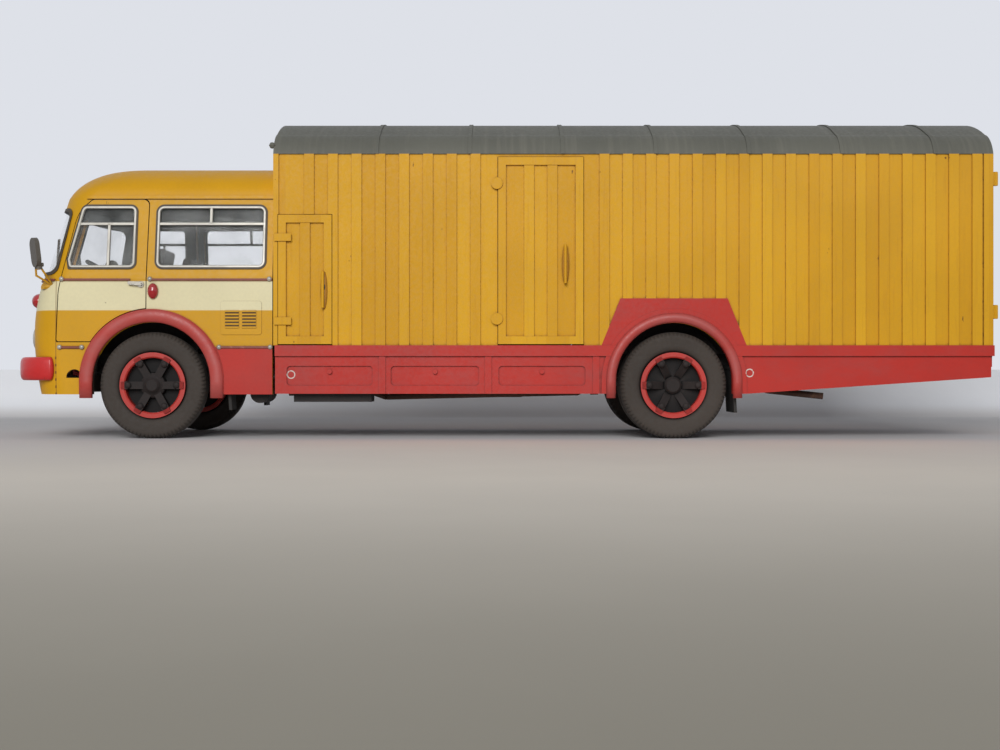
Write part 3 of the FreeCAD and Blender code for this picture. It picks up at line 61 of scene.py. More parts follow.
class Wire:
    """A socket of a material's nodes. Arithmetic adds Math nodes, node() adds any other node."""

    def __init__(self, tree, socket):
        self.tree = tree
        self.socket = socket

    def node(self, kind, settings, values, output=0):
        """Add a node of a kind: its settings first, then the values or links of its sockets."""
        made = self.tree.nodes.new(kind)
        for name, value in settings.items():
            setattr(made, name, value)
        for name, value in values.items():
            if isinstance(value, Wire):
                self.tree.links.new(value.socket, made.inputs[name])
            else:
                made.inputs[name].default_value = value
        return Wire(self.tree, made.outputs[output])

    def maths(self, operation, *others):
        """Math node on this value and others."""
        return self.node("ShaderNodeMath", {"operation": operation}, dict(enumerate((self, *others))))

    def __add__(self, other):
        return self.maths("ADD", other)

    def __sub__(self, other):
        return self.maths("SUBTRACT", other)

    def __rsub__(self, other):
        return self.node("ShaderNodeMath", {"operation": "SUBTRACT"}, {0: other, 1: self})

    def __mul__(self, other):
        return self.maths("MULTIPLY", other)

    def __truediv__(self, other):
        return self.maths("DIVIDE", other)

    __radd__ = __add__
    __rmul__ = __mul__

    def ramp(self, low, high, start=0.0, end=1.0):
        """Smooth step from start to end while this value goes from low to high."""
        return self.node("ShaderNodeMapRange", {"interpolation_type": "SMOOTHSTEP"},
                         {0: self, 1: low, 2: high, 3: start, 4: end})

    def within(self, low, high, soft):
        """1 between two values and 0 outside them, with soft ends."""
        return self.ramp(low - soft, low + soft) * self.ramp(high - soft, high + soft, 1.0, 0.0)

    def over(self, under, upper):
        """Colour that goes from one to the other as this mask goes from 0 to 1."""
        return self.node("ShaderNodeMix", {"data_type": "RGBA"}, {0: self, 6: under, 7: upper}, 2)

    def vector_maths(self, operation, *others, output=0):
        """Vector Math node on this place and others."""
        values = dict(enumerate((self, *others)))
        return self.node("ShaderNodeVectorMath", {"operation": operation}, values, output)

    def distance(self, point):
        """How far this place is from a point."""
        return self.vector_maths("DISTANCE", point, output="Value")

    def stretched(self, x, y, z):
        """Place with each axis multiplied by its own factor."""
        return self.node("ShaderNodeMapping", {}, {"Vector": self, "Scale": (x, y, z)})

    def noise(self, lumps, detail=2.0, rough=0.5):
        """Cloudy pattern, with so many lumps to the metre."""
        return self.node("ShaderNodeTexNoise", {},
                         {"Vector": self, "Scale": lumps, "Detail": detail, "Roughness": rough})

    def axis(self, index):
        """One coordinate of a place."""
        return self.node("ShaderNodeSeparateXYZ", {}, {0: self}, index)


def tint(red, green, blue):
    """Linear colour of a paint that is named by its 0 to 255 screen values."""
    shares = [value / 255 for value in (red, green, blue)]
    return tuple(s / 12.92 if s < 0.04045 else ((s + 0.055) / 1.055) ** 2.4 for s in shares) + (1.0,)


CHIP_BROWN = tint(84, 46, 22)


class Finish:
    """A material with its shader and a wire on Object coordinates."""

    def __init__(self, name, **constants):
        self.made = bpy.data.materials.new(name)
        self.made.use_nodes = True
        self.tree = self.made.node_tree
        self.shader = self.tree.nodes["Principled BSDF"]
        self.place = Wire(self.tree, self.tree.nodes.new("ShaderNodeTexCoord").outputs["Object"])
        for socket, value in constants.items():
            self.shader.inputs[socket.replace("_", " ")].default_value = value

    def feed(self, socket, wire):
        """Link a wire to one of the shader's sockets."""
        self.tree.links.new(wire.socket, self.shader.inputs[socket])

    def hollow(self, reach, inside=False):
        """How deep in a corner a point lies, or how near to an outer edge."""
        settings = {"samples": 8, "inside": inside, "only_local": inside}
        return 1 - self.place.node("ShaderNodeAmbientOcclusion", settings, {"Distance": reach}, 1)

    def wear(self, colour, wash_and_shade, scuff, wash_and_shade_share=0.8, scuff_share=0.6, lift=0.12, chips=0.0, rough=None):
        """Brushed on colour: cloudy tone, dark brown in the corners and joints that is both wash and painted
        shade, scuffed edges, chips and a fine uneven skin. Lift is how uneven the tone is, and the skin
        varies the roughness between two values if they are given."""
        broad = self.place.noise(BRUSH_LUMPS, 3)
        fine = self.place.noise(SKIN_LUMPS, 3, 0.6)
        cloud = broad.ramp(0.3, 0.7, 1 - lift * 0.5, 1 + lift * 0.5)
        tone = cloud * fine.ramp(0.25, 0.75, 1 - lift * 0.3, 1 + lift * 0.3)
        toned = self.place.node("ShaderNodeHueSaturation", {}, {"Value": tone, "Color": colour})
        # Wash and painted shade: ambient occlusion darkens corners and the joints between parts with the wash
        # colour.
        corner = self.hollow(WASH_AND_SHADE_REACH).ramp(0.12, 0.75) * fine.ramp(0.2, 0.6, 0.55, 1.0)
        painted = (corner * wash_and_shade_share).over(toned, wash_and_shade)
        edge = self.hollow(SCUFF_REACH, True).ramp(0.25, 0.6)
        edge = edge * self.place.noise(SCUFF_LUMPS, 4, 0.7).ramp(0.5, 0.62)
        painted = (edge * scuff_share).over(painted, scuff)
        if chips:
            flecks = self.place.stretched(1, 1, 0.55).noise(CHIP_LUMPS, 3, 0.8)
            at_edges = self.hollow(CHIP_REACH).ramp(0.3, 0.6) * flecks.ramp(0.58, 0.62)
            spots = flecks.ramp(0.725, 0.74) + at_edges
            painted = (spots.ramp(0.0, 1.0) * chips).over(painted, CHIP_BROWN)
        self.feed("Base Color", painted)
        skin = {"Strength": 0.18, "Distance": SKIN_DEPTH, "Height": fine + broad * 0.5}
        self.feed("Normal", self.place.node("ShaderNodeBump", {}, skin))
        if rough:
            self.feed("Roughness", fine.ramp(0.3, 0.7, *rough))


def dress(finish, *names):
    """Give the finish to CAD nodes, in place of the plain material that they came with."""
    for name in names:
        mesh = nodes[name].data
        mesh.materials.clear()
        mesh.materials.append(finish.made)


frame_black = Finish("frame_black", Roughness=0.75)
frame_black.wear(tint(44, 40, 38), tint(24, 18, 14), tint(98, 84, 70), 0.8, 0.35, 0.5)
dress(frame_black, "chassis_frame", "leaf_springs", "engine_gearbox", "under_tanks", "box_floor")

# Axles, exhaust and mudflaps
# Steel rods carry the wheels, and a bare shaft runs between the gear housings. The exhaust is a rusty tube
# under the left rail, and the flaps behind the wheels are thin black rubber.

steel = Finish("axle_steel", Metallic=0.8)
steel.wear(tint(120, 116, 110), tint(50, 38, 30), tint(170, 165, 158), 0.8, 0.4, 0.3, rough=(0.35, 0.6))
dress(steel, "front_axle", "rear_axle", "propeller_shaft")

rust_brown = Finish("exhaust_brown", Roughness=0.85)
rust_brown.wear(tint(74, 50, 38), tint(34, 22, 16), tint(110, 78, 56), 0.7, 0.5, 0.6)
dress(rust_brown, "exhaust_pipe")

flap_rubber = Finish("flap_rubber", Roughness=0.8)
flap_rubber.wear(tint(40, 38, 36), tint(20, 18, 16), tint(90, 80, 70), 0.7, 0.4, 0.4)
dress(flap_rubber, "mudflaps")

# Cab body
# The forward control cab is one thin walled shell with two doors, sprayed yellow with a cream band below its
# belt. Brown wash has run along the panel gaps, painted shade darkens them and its corners too, and its
# lining is dark brown.

hub_low, hub_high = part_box("hub_front_left")
FRONT_AXLE = (hub_low.x + hub_high.x) / 2
CREAM_FOOT = 31.2 * MM
CREAM_TOP = 38.3 * MM
ROOF_FADE = (58 * MM, 61 * MM)
SEAM = (FRONT_AXLE + 23.15 * MM, FRONT_AXLE + 23.35 * MM)
SEAM_TOP = (38.6 * MM, 38.8 * MM)
STITCHES = (FRONT_AXLE + 23.1 * MM, FRONT_AXLE + 23.5 * MM)
STITCHES_TOP = (20.5 * MM, 21 * MM)
STITCH_TURNS = 3600
GUTTER = (58.45 * MM, 58.62 * MM)
GUTTER_FRONT = (FRONT_AXLE + 16 * MM, FRONT_AXLE + 17 * MM)
LINE_SOFT = 0.08 * MM
CAB_MIDDLE = (FRONT_AXLE + 2 * MM, 0.0, 42 * MM)
YELLOW = tint(209, 155, 18)
YELLOW_ROOF = tint(212, 156, 16)
CREAM = tint(226, 217, 176)
YELLOW_WASH_AND_SHADE = tint(112, 66, 20)
YELLOW_SCUFF = tint(150, 92, 46)


def cab_inside(finish):
    """1 where a face looks towards the middle of the cab: its lining."""
    away = finish.place.vector_maths("SUBTRACT", CAB_MIDDLE)
    facing = finish.place.node("ShaderNodeNewGeometry", {}, {}, "Normal")
    return away.vector_maths("DOT_PRODUCT", facing, output="Value").ramp(-0.001, 0.001, 1.0, 0.0)


def cab_bands(finish):
    """Yellow with a cream band, a deeper roof, a dark gutter line, and a seam at the front corners that is
    stitched near its foot."""
    height = finish.place.axis(2)
    along = finish.place.axis(0)
    body = height.ramp(*ROOF_FADE).over(YELLOW, YELLOW_ROOF)
    painted = height.within(CREAM_FOOT, CREAM_TOP, 0.12 * MM).over(body, CREAM)
    seam = along.within(*SEAM, LINE_SOFT) * height.ramp(*SEAM_TOP, 1.0, 0.0)
    stitch = (height * STITCH_TURNS).maths("SINE").ramp(0.2, 0.6)
    stitches = along.within(*STITCHES, LINE_SOFT) * height.ramp(*STITCHES_TOP, 1.0, 0.0) * stitch
    gutter = height.within(*GUTTER, 0.1 * MM) * along.ramp(*GUTTER_FRONT, 1.0, 0.0)
    lined = ((seam + gutter) * 0.7).over(painted, tint(120, 80, 44))
    return (stitches * 0.8).over(lined, tint(96, 60, 34))


cab_paint = Finish("cab_paint", Coat_Weight=0.05, Coat_Roughness=0.35, Specular_IOR_Level=0.25)
lined = cab_inside(cab_paint).over(cab_bands(cab_paint), tint(66, 56, 48))
cab_paint.wear(lined, YELLOW_WASH_AND_SHADE, YELLOW_SCUFF, 0.75, 0.2, 0.08, 0.5, rough=(0.4, 0.58))
dress(cab_paint, "cab_shell", "cab_door_left", "cab_door_right")

# Louvred panels behind the front wheels
# Each is a thin plate with two columns of five slots, set flush in the cab's side and painted with its bands.
# The slots are painted dark brown as painted shade, and the brown wash stays in them.

LOUVRE_FOOT = 26.9 * MM
LOUVRE_PITCH = 0.78 * MM
LOUVRE_ROWS = 5.5
LOUVRE_COLUMNS = ((-25.4 * MM, -22.0 * MM), (-21.25 * MM, -17.85 * MM))
LOUVRE_SOFT = 0.05 * MM

vent_paint = Finish("vent_paint", Roughness=0.5, Specular_IOR_Level=0.3)
height = vent_paint.place.axis(2)
along = vent_paint.place.axis(0)
first, second = (along.within(FRONT_AXLE + back, FRONT_AXLE + front, LOUVRE_SOFT)
                 for back, front in LOUVRE_COLUMNS)
rows = height.within(LOUVRE_FOOT, LOUVRE_FOOT + LOUVRE_ROWS * LOUVRE_PITCH, LOUVRE_SOFT)
slot = ((height - LOUVRE_FOOT) / LOUVRE_PITCH).maths("FRACT").within(0.5, 0.92, 0.06)
# Painted shade: the slots of the flush plate are painted dark brown.
slot_shaded = (slot * (first + second) * rows * 0.9).over(cab_bands(vent_paint), tint(70, 48, 24))
vent_paint.wear(slot_shaded, tint(84, 60, 30), YELLOW_SCUFF, 0.95, 0.0, 0.08)
dress(vent_paint, "vent_panels")

# Inside of the cab
# Floor, dashboard and steering wheel are grey brown mouldings, and the seats are painted like vinyl. All of
# them are glued to the cab's floor plate.

lining_grey = Finish("lining_grey", Roughness=0.8)
lining_grey.wear(tint(74, 66, 60), tint(30, 25, 22), tint(104, 96, 88), 0.7, 0.3, 0.3)
dress(lining_grey, "cab_floor", "dashboard", "steering_wheel")

seat_vinyl = Finish("seat_vinyl", Roughness=0.6)
seat_vinyl.wear(tint(70, 48, 38), tint(28, 18, 14), tint(110, 80, 62), 0.8, 0.4, 0.4)
dress(seat_vinyl, "seats")

# Glass and its rubber
# The windscreen wraps round in two clear panes, and the side windows are flat. All panes are pressed into
# black rubber seals that have taken some of the brown wash, with painted shade in their corners.

pane = Finish("window_glass", Roughness=0.04, IOR=1.45)
smear = pane.place.noise(160, 3)
pane.feed("Base Color", smear.over(tint(196, 202, 200), tint(216, 220, 220)))
pane.feed("Alpha", smear.ramp(0.35, 0.7, 0.05, 0.12))
dress(pane, "cab_side_glass", "windscreen_glass")

seal_black = Finish("seal_black", Roughness=0.6)
seal_black.wear(tint(64, 55, 42), tint(36, 28, 20), tint(104, 92, 74), 0.6, 0.3, 0.3)
dress(seal_black, "windscreen_seal", "cab_window_frames")

# Silver frames of the side windows
# A thin silver strip runs round each side window inside its rubber, with narrow bars across. They are raised
# mouldings, painted by hand, and lean inwards with the cab's side.

CAB_SIDE = 29.05 * MM
BELT_HEIGHT = 38.9 * MM
GUTTER_INSET = 3.0 * MM
GUTTER_RISE = 20.1 * MM
SIDE_LEAN = GUTTER_INSET / GUTTER_RISE
DOOR_PANE = MM * np.array([(3.8, 41.2), (20.4, 41.2), (20.9, 43.6), (17.6, 57.2), (3.8, 57.2)])
DOOR_RADII = MM * np.array([1.8, 1.2, 1.3, 1.8, 1.8])
REAR_PANE = MM * np.array([(-27.8, 41.2), (-0.6, 41.2), (-0.6, 57.2), (-27.8, 57.2)])
REAR_RADII = MM * np.array([2.0, 2.0, 2.0, 2.0])
BARS = MM * np.array([[(4.4, 52.4), (18.4, 52.4)], [(10.75, 41.7), (10.75, 52.4)],
                      [(-27.2, 52.4), (-1.2, 52.4)], [(-14.05, 52.4), (-14.05, 56.6)]])
STRIP_SECTION = MM * np.array([(-1.0, -0.45), (-1.0, 0.2), (-0.86, 0.34), (-0.5, 0.34), (-0.38, 0.2),
                               (-0.38, -0.45)])
BAR_SECTION = MM * np.array([(-0.34, -0.45), (-0.34, 0.16), (-0.24, 0.24), (0.24, 0.24), (0.34, 0.16),
                             (0.34, -0.45)])


def rounded_path(corners, radii, steps=8):
    """Points of a polygon with round corners and the directions that look out of it: about each corner's own
    centre, centre + radius (cos a, sin a)."""
    points = []
    outs = []
    for corner, before, after, radius in zip(corners, np.roll(corners, 1, 0), np.roll(corners, -1, 0), radii):
        towards = [(end - corner) / np.linalg.norm(end - corner) for end in (before, after)]
        middle = towards[0] + towards[1]
        half = math.acos(towards[0] @ towards[1]) / 2
        centre = corner + middle / np.linalg.norm(middle) * radius / math.sin(half)
        arms = [corner + way * radius / math.tan(half) - centre for way in towards]
        first, last = (math.atan2(arm[1], arm[0]) for arm in arms)
        turn = np.linspace(first, first + (last - first + math.pi) % (2 * math.pi) - math.pi, steps)
        out = np.stack([np.cos(turn), np.sin(turn)], axis=1)
        points.append(centre + radius * out)
        outs.append(out)
    return np.concatenate(points), np.concatenate(outs)


def straight_path(ends):
    """The two ends of a bar, and the direction to the right of it."""
    way = (ends[1] - ends[0]) / np.linalg.norm(ends[1] - ends[0])
    return ends, np.array([(way[1], -way[0])] * 2)


def on_side(path, profile, hand, lean=SIDE_LEAN):
    """Sweep of a profile's points (across, proud) on the cab's side: path + across x out, and as far from the
    middle as the side, less lean x the height over the belt, plus proud."""
    flat, out = path
    along, height = flat.T[:, :, None]
    across, proud = profile.T[:, None, :]
    height = height + across * out[:, 1:]
    aside = CAB_SIDE - lean * (height - BELT_HEIGHT) + proud
    return np.stack([FRONT_AXLE + along + across * out[:, :1], hand * aside, height], axis=2)


def piece(name, points, faces, finish, smooth):
    """Object with one mesh, whose place is in its points."""
    mesh = bpy.data.meshes.new(name)
    mesh.from_pydata(points.tolist(), [], faces)
    mesh.polygons.foreach_set("use_smooth", np.full(len(mesh.polygons), smooth))
    mesh.materials.append(finish.made)
    made = bpy.data.objects.new(name, mesh)
    bpy.context.scene.collection.objects.link(made)
    return made


def swept(name, grids, finish, smooth=True):
    """Piece from grids of points. Each closes round its profile, and along its path too, or else it gets two
    end faces. A grid's path runs backwards on one side of the truck, so that its faces point outwards."""
    points = []
    faces = []
    start = 0
    for grid, ring in grids:
        rows, columns = grid.shape[:2]
        index = start + np.arange(rows * columns).reshape(rows, columns)
        runs = index if ring else index[:-1]
        following = np.roll(index, -1, axis=0) if ring else index[1:]
        quads = np.stack([runs, np.roll(runs, -1, 1), np.roll(following, -1, 1), following], axis=2)
        faces += quads.reshape(-1, 4).tolist()
        if not ring:
            faces += [index[0, ::-1].tolist(), index[-1].tolist()]
        points.append(grid.reshape(-1, 3))
        start += rows * columns
    return piece(name, np.concatenate(points), faces, finish, smooth)


bright_frame = Finish("bright_frame", Metallic=0.25)
bright_frame.wear(tint(172, 168, 158), tint(84, 72, 56), tint(140, 130, 114), 0.85, 0.4, 0.35, 0.5,
                  rough=(0.3, 0.5))
grids = []
for hand in (1, -1):
    for corners, radii in ((DOOR_PANE, DOOR_RADII), (REAR_PANE, REAR_RADII)):
        grids.append((on_side(rounded_path(corners, radii), STRIP_SECTION, hand)[::-hand], True))
    for ends in BARS:
        grids.append((on_side(straight_path(ends), BAR_SECTION, hand)[::-hand], False))
trims = swept("window_trims", grids, bright_frame, False)
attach(trims, "truck")

# Red mouldings
# The grille, wheel arches, skirts, sills and rear beam are separate red mouldings, fixed to the frame and the
# cab. Their paint has faded to pink along the edges, and each sill carries two small white rings.

RED = tint(184, 44, 34)
RED_WASH_AND_SHADE = tint(92, 38, 34)
RED_SCUFF = tint(186, 112, 104)
RINGS = ((-33.7 * MM, 15.6 * MM), (-145.2 * MM, 16.0 * MM))
RING_INSIDE = 0.78 * MM
RING_OUTSIDE = 1.04 * MM


def ring_mark(finish, along, height):
    """White ring painted on the long sides about a point."""
    away = finish.place.stretched(1, 0, 1).distance((FRONT_AXLE + along, 0, height))
    return away.within(RING_INSIDE, RING_OUTSIDE, 0.05 * MM) * finish.place.noise(1500).ramp(0.3, 0.45)


red_paint = Finish("red_paint", Coat_Weight=0.06, Coat_Roughness=0.4, Specular_IOR_Level=0.3)
fade = red_paint.place.stretched(1, 1, 2).noise(70, 4, 0.6).ramp(0.4, 0.75, 0.0, 0.55)
first, second = (ring_mark(red_paint, *ring) for ring in RINGS)
marked = (first + second).over(fade.over(RED, tint(164, 64, 60)), tint(214, 204, 196))
red_paint.wear(marked, RED_WASH_AND_SHADE, RED_SCUFF, 0.75, 0.35, 0.1, 0.25, rough=(0.42, 0.62))
dress(red_paint, "front_grille", "front_arches", "sill_left", "sill_right", "rear_beam")

skirt_red = Finish("skirt_red", Roughness=0.5, Specular_IOR_Level=0.3)
fade = skirt_red.place.noise(60, 4, 0.6).ramp(0.4, 0.75, 0.0, 0.5)
skirt_red.wear(fade.over(RED, tint(166, 62, 56)), tint(96, 52, 46), RED_SCUFF, 0.8, 0.0, 0.1)
dress(skirt_red, "cab_skirts")

# Beads of the wheel arches
# A half round red bead stands proud along each arch and down to its feet. It is moulded with the arch, and
# its paint is the most faded on the truck; its lighter pink is also a painted highlight.

WHEELBASE = 126.8 * MM
ARCH_HEIGHT = 14.0 * MM
ARCH_FOOT = 9.9 * MM
FRONT_BEAD_RADIUS = 15.85 * MM
FRONT_BEAD_HALF = 1.55 * MM
REAR_BEAD_RADIUS = 15.35 * MM
REAR_BEAD_HALF = 1.1 * MM
BEAD_SEAT = 0.45 * MM
BEAD_RISE = 0.75 * MM
BEAD_ROOT = -0.05 * MM


def arch_path(centre, radius, steps=61):
    """Path of a bead: a leg up, centre + radius (cos a, sin a) over the wheel, and a leg down."""
    turn = np.linspace(np.pi, 0, steps)
    out = np.stack([np.cos(turn), np.sin(turn)], axis=1)
    out = np.concatenate([[(-1, 0)], out, [(1, 0)]])
    flat = np.array([centre, ARCH_HEIGHT]) + radius * out
    flat[[0, -1], 1] = ARCH_FOOT
    return flat, out


def bead_section(half_width, steps=13):
    """Half an ellipse, half width x cos b and seat + rise x sin b, on a foot that is sunk in the arch."""
    turn = np.linspace(0, np.pi, steps)
    top = np.stack([-half_width * np.cos(turn), BEAD_SEAT + BEAD_RISE * np.sin(turn)], axis=1)
    return np.concatenate([top, [(half_width, BEAD_ROOT), (-half_width, BEAD_ROOT)]])


arch_red = Finish("arch_red", Coat_Weight=0.1, Coat_Roughness=0.35, Specular_IOR_Level=0.4)
fade = arch_red.place.stretched(1, 1, 2).noise(90, 4, 0.6).ramp(0.3, 0.7, 0.15, 0.75)
# Faded paint and painted highlight: the bead's red goes lighter pink in clouds.
faded_with_highlight = fade.over(tint(180, 56, 48), tint(172, 84, 80))
arch_red.wear(faded_with_highlight, RED_WASH_AND_SHADE, RED_SCUFF, 0.7, 0.35, 0.1, 0.25, rough=(0.38, 0.55))
grids = []
for hand in (1, -1):
    for centre, radius, half in ((0.0, FRONT_BEAD_RADIUS, FRONT_BEAD_HALF),
                                 (-WHEELBASE, REAR_BEAD_RADIUS, REAR_BEAD_HALF)):
        grids.append((on_side(arch_path(centre, radius), bead_section(half), hand, 0.0)[::hand], False))
beads = swept("arch_beads", grids, arch_red)
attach(beads, "truck")

# Front bumper
# One glossy red bar wraps round the cab's front corners. Its section is a rounded square, and two square
# stays hold it to the frame.

BUMPER_FRONT = 35.0 * MM
BUMPER_HALF_WIDTH = 28.75 * MM
BUMPER_CORNER = 8.7 * MM
BUMPER_BULGE = 129.1 * MM
BUMPER_END = 23.7 * MM
BUMPER_TIP = 0.9 * MM
TIP_START = 0.25
BUMPER_MIDDLE = 17.05 * MM
BUMPER_HALF_DEPTH = 1.15 * MM
BUMPER_HALF_HEIGHT = 2.85 * MM
STAY_ENDS = (28.6 * MM, 34.4 * MM)
STAY_SIDE = (6.8 * MM, 9.0 * MM)
STAY_HEIGHT = (15.4 * MM, 18.6 * MM)


def bumper_line(corner_steps=14, bow_steps=42):
    """Middle line of the bumper and its outward directions: round corners and a wide bulge, each centre +
    radius (cos a, sin a)."""
    round_corner = BUMPER_HALF_WIDTH - BUMPER_CORNER
    bulge_centre = BUMPER_FRONT - BUMPER_BULGE
    reach = math.sqrt((BUMPER_BULGE - BUMPER_CORNER) ** 2 - round_corner ** 2)
    corner_centre = np.array([bulge_centre + reach, round_corner])
    heading = math.atan2(round_corner, reach)
    turn = np.linspace(np.pi / 2, heading, corner_steps)
    side = np.stack([np.cos(turn), np.sin(turn)], axis=1)
    bow = np.linspace(heading, -heading, bow_steps)[1:-1]
    face = np.stack([np.cos(bow), np.sin(bow)], axis=1)
    corner = corner_centre + BUMPER_CORNER * side
    front = np.array([bulge_centre, 0]) + BUMPER_BULGE * face
    line = np.concatenate([corner, front, corner[::-1] * (1, -1)])
    return line, np.concatenate([side, face, side[::-1] * (1, -1)])


def bumper_bar(tip_steps=7, section_steps=24):
    """Rounded square, cosine to the power 0.75 and sine to the power 0.6, swept along the middle line and its
    straight ends. Each end closes like a quarter of a circle."""
    line, out = bumper_line()
    swell = np.linspace(TIP_START, np.pi / 2, tip_steps)
    tip = np.stack([BUMPER_END + BUMPER_TIP * (1 - np.cos(swell)), 0 * swell + line[0, 1]], axis=1)
    tip_out = np.stack([0 * swell, 0 * swell + 1], axis=1)
    size = np.concatenate([np.sin(swell), np.ones(len(line)), np.sin(swell)[::-1]])[:, None]
    line = np.concatenate([tip, line, tip[::-1] * (1, -1)])
    out = np.concatenate([tip_out, out, tip_out * (1, -1)])
    v = np.linspace(0, 2 * np.pi, section_steps, endpoint=False)[None, :]
    proud = size * BUMPER_HALF_DEPTH * np.sign(np.cos(v)) * np.abs(np.cos(v)) ** 0.75
    rise = size * BUMPER_HALF_HEIGHT * np.sign(np.sin(v)) * np.abs(np.sin(v)) ** 0.6
    along = FRONT_AXLE + line[:, :1] + proud * out[:, :1]
    return np.stack([along, line[:, 1:] + proud * out[:, 1:], BUMPER_MIDDLE + rise], axis=2)


def block(along, across, height, hand):
    """Grid of a straight block between two values ahead of the front axle, out from the middle, and up."""
    section = [(hand * across[a], height[b]) for a, b in ((0, 0), (1, 0), (1, 1), (0, 1))][::hand]
    return np.array([[(FRONT_AXLE + x, y, z) for y, z in section] for x in along])


bumper_red = Finish("bumper_red", Coat_Weight=0.3, Coat_Roughness=0.2, Specular_IOR_Level=0.4)
bumper_red.wear(tint(196, 34, 34), RED_WASH_AND_SHADE, RED_SCUFF, 0.75, 0.2, 0.12, 0.3, rough=(0.3, 0.45))
grids = [(bumper_bar(), False)]
for hand in (1, -1):
    grids.append((block(STAY_ENDS, STAY_SIDE, STAY_HEIGHT, hand), False))
bumper = swept("bumper_bar", grids, bumper_red)
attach(bumper, "truck")
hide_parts("front_bumper")

# Brown strips and their bolts
# Narrow brown strips run along the belt and low on the front corners, as mouldings on the cab's skin. Small
# silver bolts hold them at their ends.

LOWER_STRIP = MM * np.array([(16.6, 22.2), (22.6, 22.2)])
LOWER_STRIP_SECTION = MM * np.array([(-0.3, -0.2), (-0.3, 0.35), (-0.2, 0.45), (0.2, 0.45), (0.3, 0.35),
                                     (0.3, -0.2)])
BOLTS = MM * np.array([(21.8, 38.8), (0.4, 38.8), (-28.6, 38.8), (16.9, 22.25), (22.3, 22.25), (-16.4, 22.25),
                       (-28.8, 22.25)])
BOLTS_OUT = 29.3 * MM
BOLT_SIZE = (0.6 * MM, 0.45 * MM, 0.6 * MM)


def domes(name, places, sizes, finish, rings=7, sides=16):
    """Closed rounded heads: place + size (sin u cos v, cos u, sin u sin v), a ring for each u between two
    poles. There is one size for all or one for each."""
    u = np.linspace(0, np.pi, rings + 2)[1:-1, None]
    v = np.linspace(0, 2 * np.pi, sides, endpoint=False)[None, :]
    ring = np.stack([np.sin(u) * np.cos(v), np.cos(u) + 0 * v, np.sin(u) * np.sin(v)], axis=2).reshape(-1, 3)
    head = np.concatenate([[(0, 1, 0)], ring, [(0, -1, 0)]])
    points = np.array(places)[:, None] + np.array(sizes).reshape(-1, 1, 3) * head
    index = 1 + np.arange(rings * sides).reshape(rings, sides)
    beside = np.roll(index, -1, axis=1)
    quads = np.stack([index[:-1], beside[:-1], beside[1:], index[1:]], axis=2).reshape(-1, 4)
    top = np.stack([0 * index[0], beside[0], index[0]], axis=1)
    foot = np.stack([index[-1], beside[-1], 0 * index[-1] + len(head) - 1], axis=1)
    triangles = np.concatenate([top, foot])
    faces = []
    for start in range(0, len(points) * len(head), len(head)):
        faces += (quads + start).tolist() + (triangles + start).tolist()
    return piece(name, points.reshape(-1, 3), faces, finish, True)


def both_sides(places, out):
    """Places (ahead of the front axle, up) at one distance out from the middle, each left and right."""
    return [(FRONT_AXLE + along, hand * out, height) for along, height in places for hand in (1, -1)]


strip_brown = Finish("strip_brown", Roughness=0.5)
strip_brown.wear(tint(122, 58, 44), tint(60, 24, 16), tint(176, 110, 90), 0.6, 0.4, 0.2)
dress(strip_brown, "rub_strips")
path = straight_path(LOWER_STRIP)
grids = [(on_side(path, LOWER_STRIP_SECTION, hand, 0.0)[::-hand], False) for hand in (1, -1)]
strips = swept("front_strips", grids, strip_brown, False)
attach(strips, "truck")

bolts = domes("strip_bolts", both_sides(BOLTS, BOLTS_OUT), BOLT_SIZE, bright_frame)
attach(bolts, "truck")

# Door handles and wipers
# Both are thin bright metal, bent to shape, with brown wash and painted shade where they touch the paint.
# They are glued to the doors and under the windscreen.

bright = Finish("bright_metal", Metallic=0.9)
bright.wear(tint(150, 145, 135), tint(56, 46, 36), tint(190, 186, 178), 0.85, 0.4, 0.3, rough=(0.22, 0.42))
dress(bright, "cab_door_handles", "wipers")

# Headlamps
# Two round, slightly domed glasses with fine upright ribs are pressed into the cab's nose, where a dull
# silver ring holds each.

HEADLAMP = MM * np.array([(30.75, 24.6)])
HEADLAMP_OUT = 18.2 * MM
HEADLAMP_SIZE = (1.35 * MM, 3.6 * MM, 3.6 * MM)
HEADLAMP_RING = (2.9 * MM, 3.0 * MM)
RIB_TURNS = 9000

lamp_glass = Finish("lamp_glass", Coat_Weight=0.6, Coat_Roughness=0.05, Roughness=0.25)
from_front = lamp_glass.place.stretched(0, 1, 1).vector_maths("ABSOLUTE")
away = from_front.distance((0, HEADLAMP_OUT, HEADLAMP[0, 1]))
glass = away.ramp(*HEADLAMP_RING).over(tint(196, 198, 190), tint(176, 172, 162))
ribs = (lamp_glass.place.axis(1) * RIB_TURNS).maths("SINE").ramp(-0.4, 0.4, 0.0, 0.25)
ribbed = ribs.over(glass, tint(140, 144, 138))
lamp_glass.wear(ribbed, tint(70, 58, 44), tint(150, 140, 126), 0.7, 0.2, 0.15)
headlamps = domes("headlamp_domes", both_sides(HEADLAMP, HEADLAMP_OUT), HEADLAMP_SIZE, lamp_glass)
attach(headlamps, "truck")
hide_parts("headlamps")

# Marker and tail lamps
# Small drops of glossy red plastic are glued behind the doors, over the headlamps and on the rear beam. They
# are the shiniest pieces of the truck.

SIDE_LAMP = MM * np.array([(-0.35, 35.85)])
SIDE_LAMP_OUT = 29.3 * MM
SIDE_LAMP_SIZE = (1.3 * MM, 1.1 * MM, 1.95 * MM)
NOSE_LAMP = MM * np.array([(29.5, 33.75)])
NOSE_LAMP_OUT = 22.0 * MM
NOSE_LAMP_SIZE = (1.9 * MM, 1.9 * MM, 1.9 * MM)

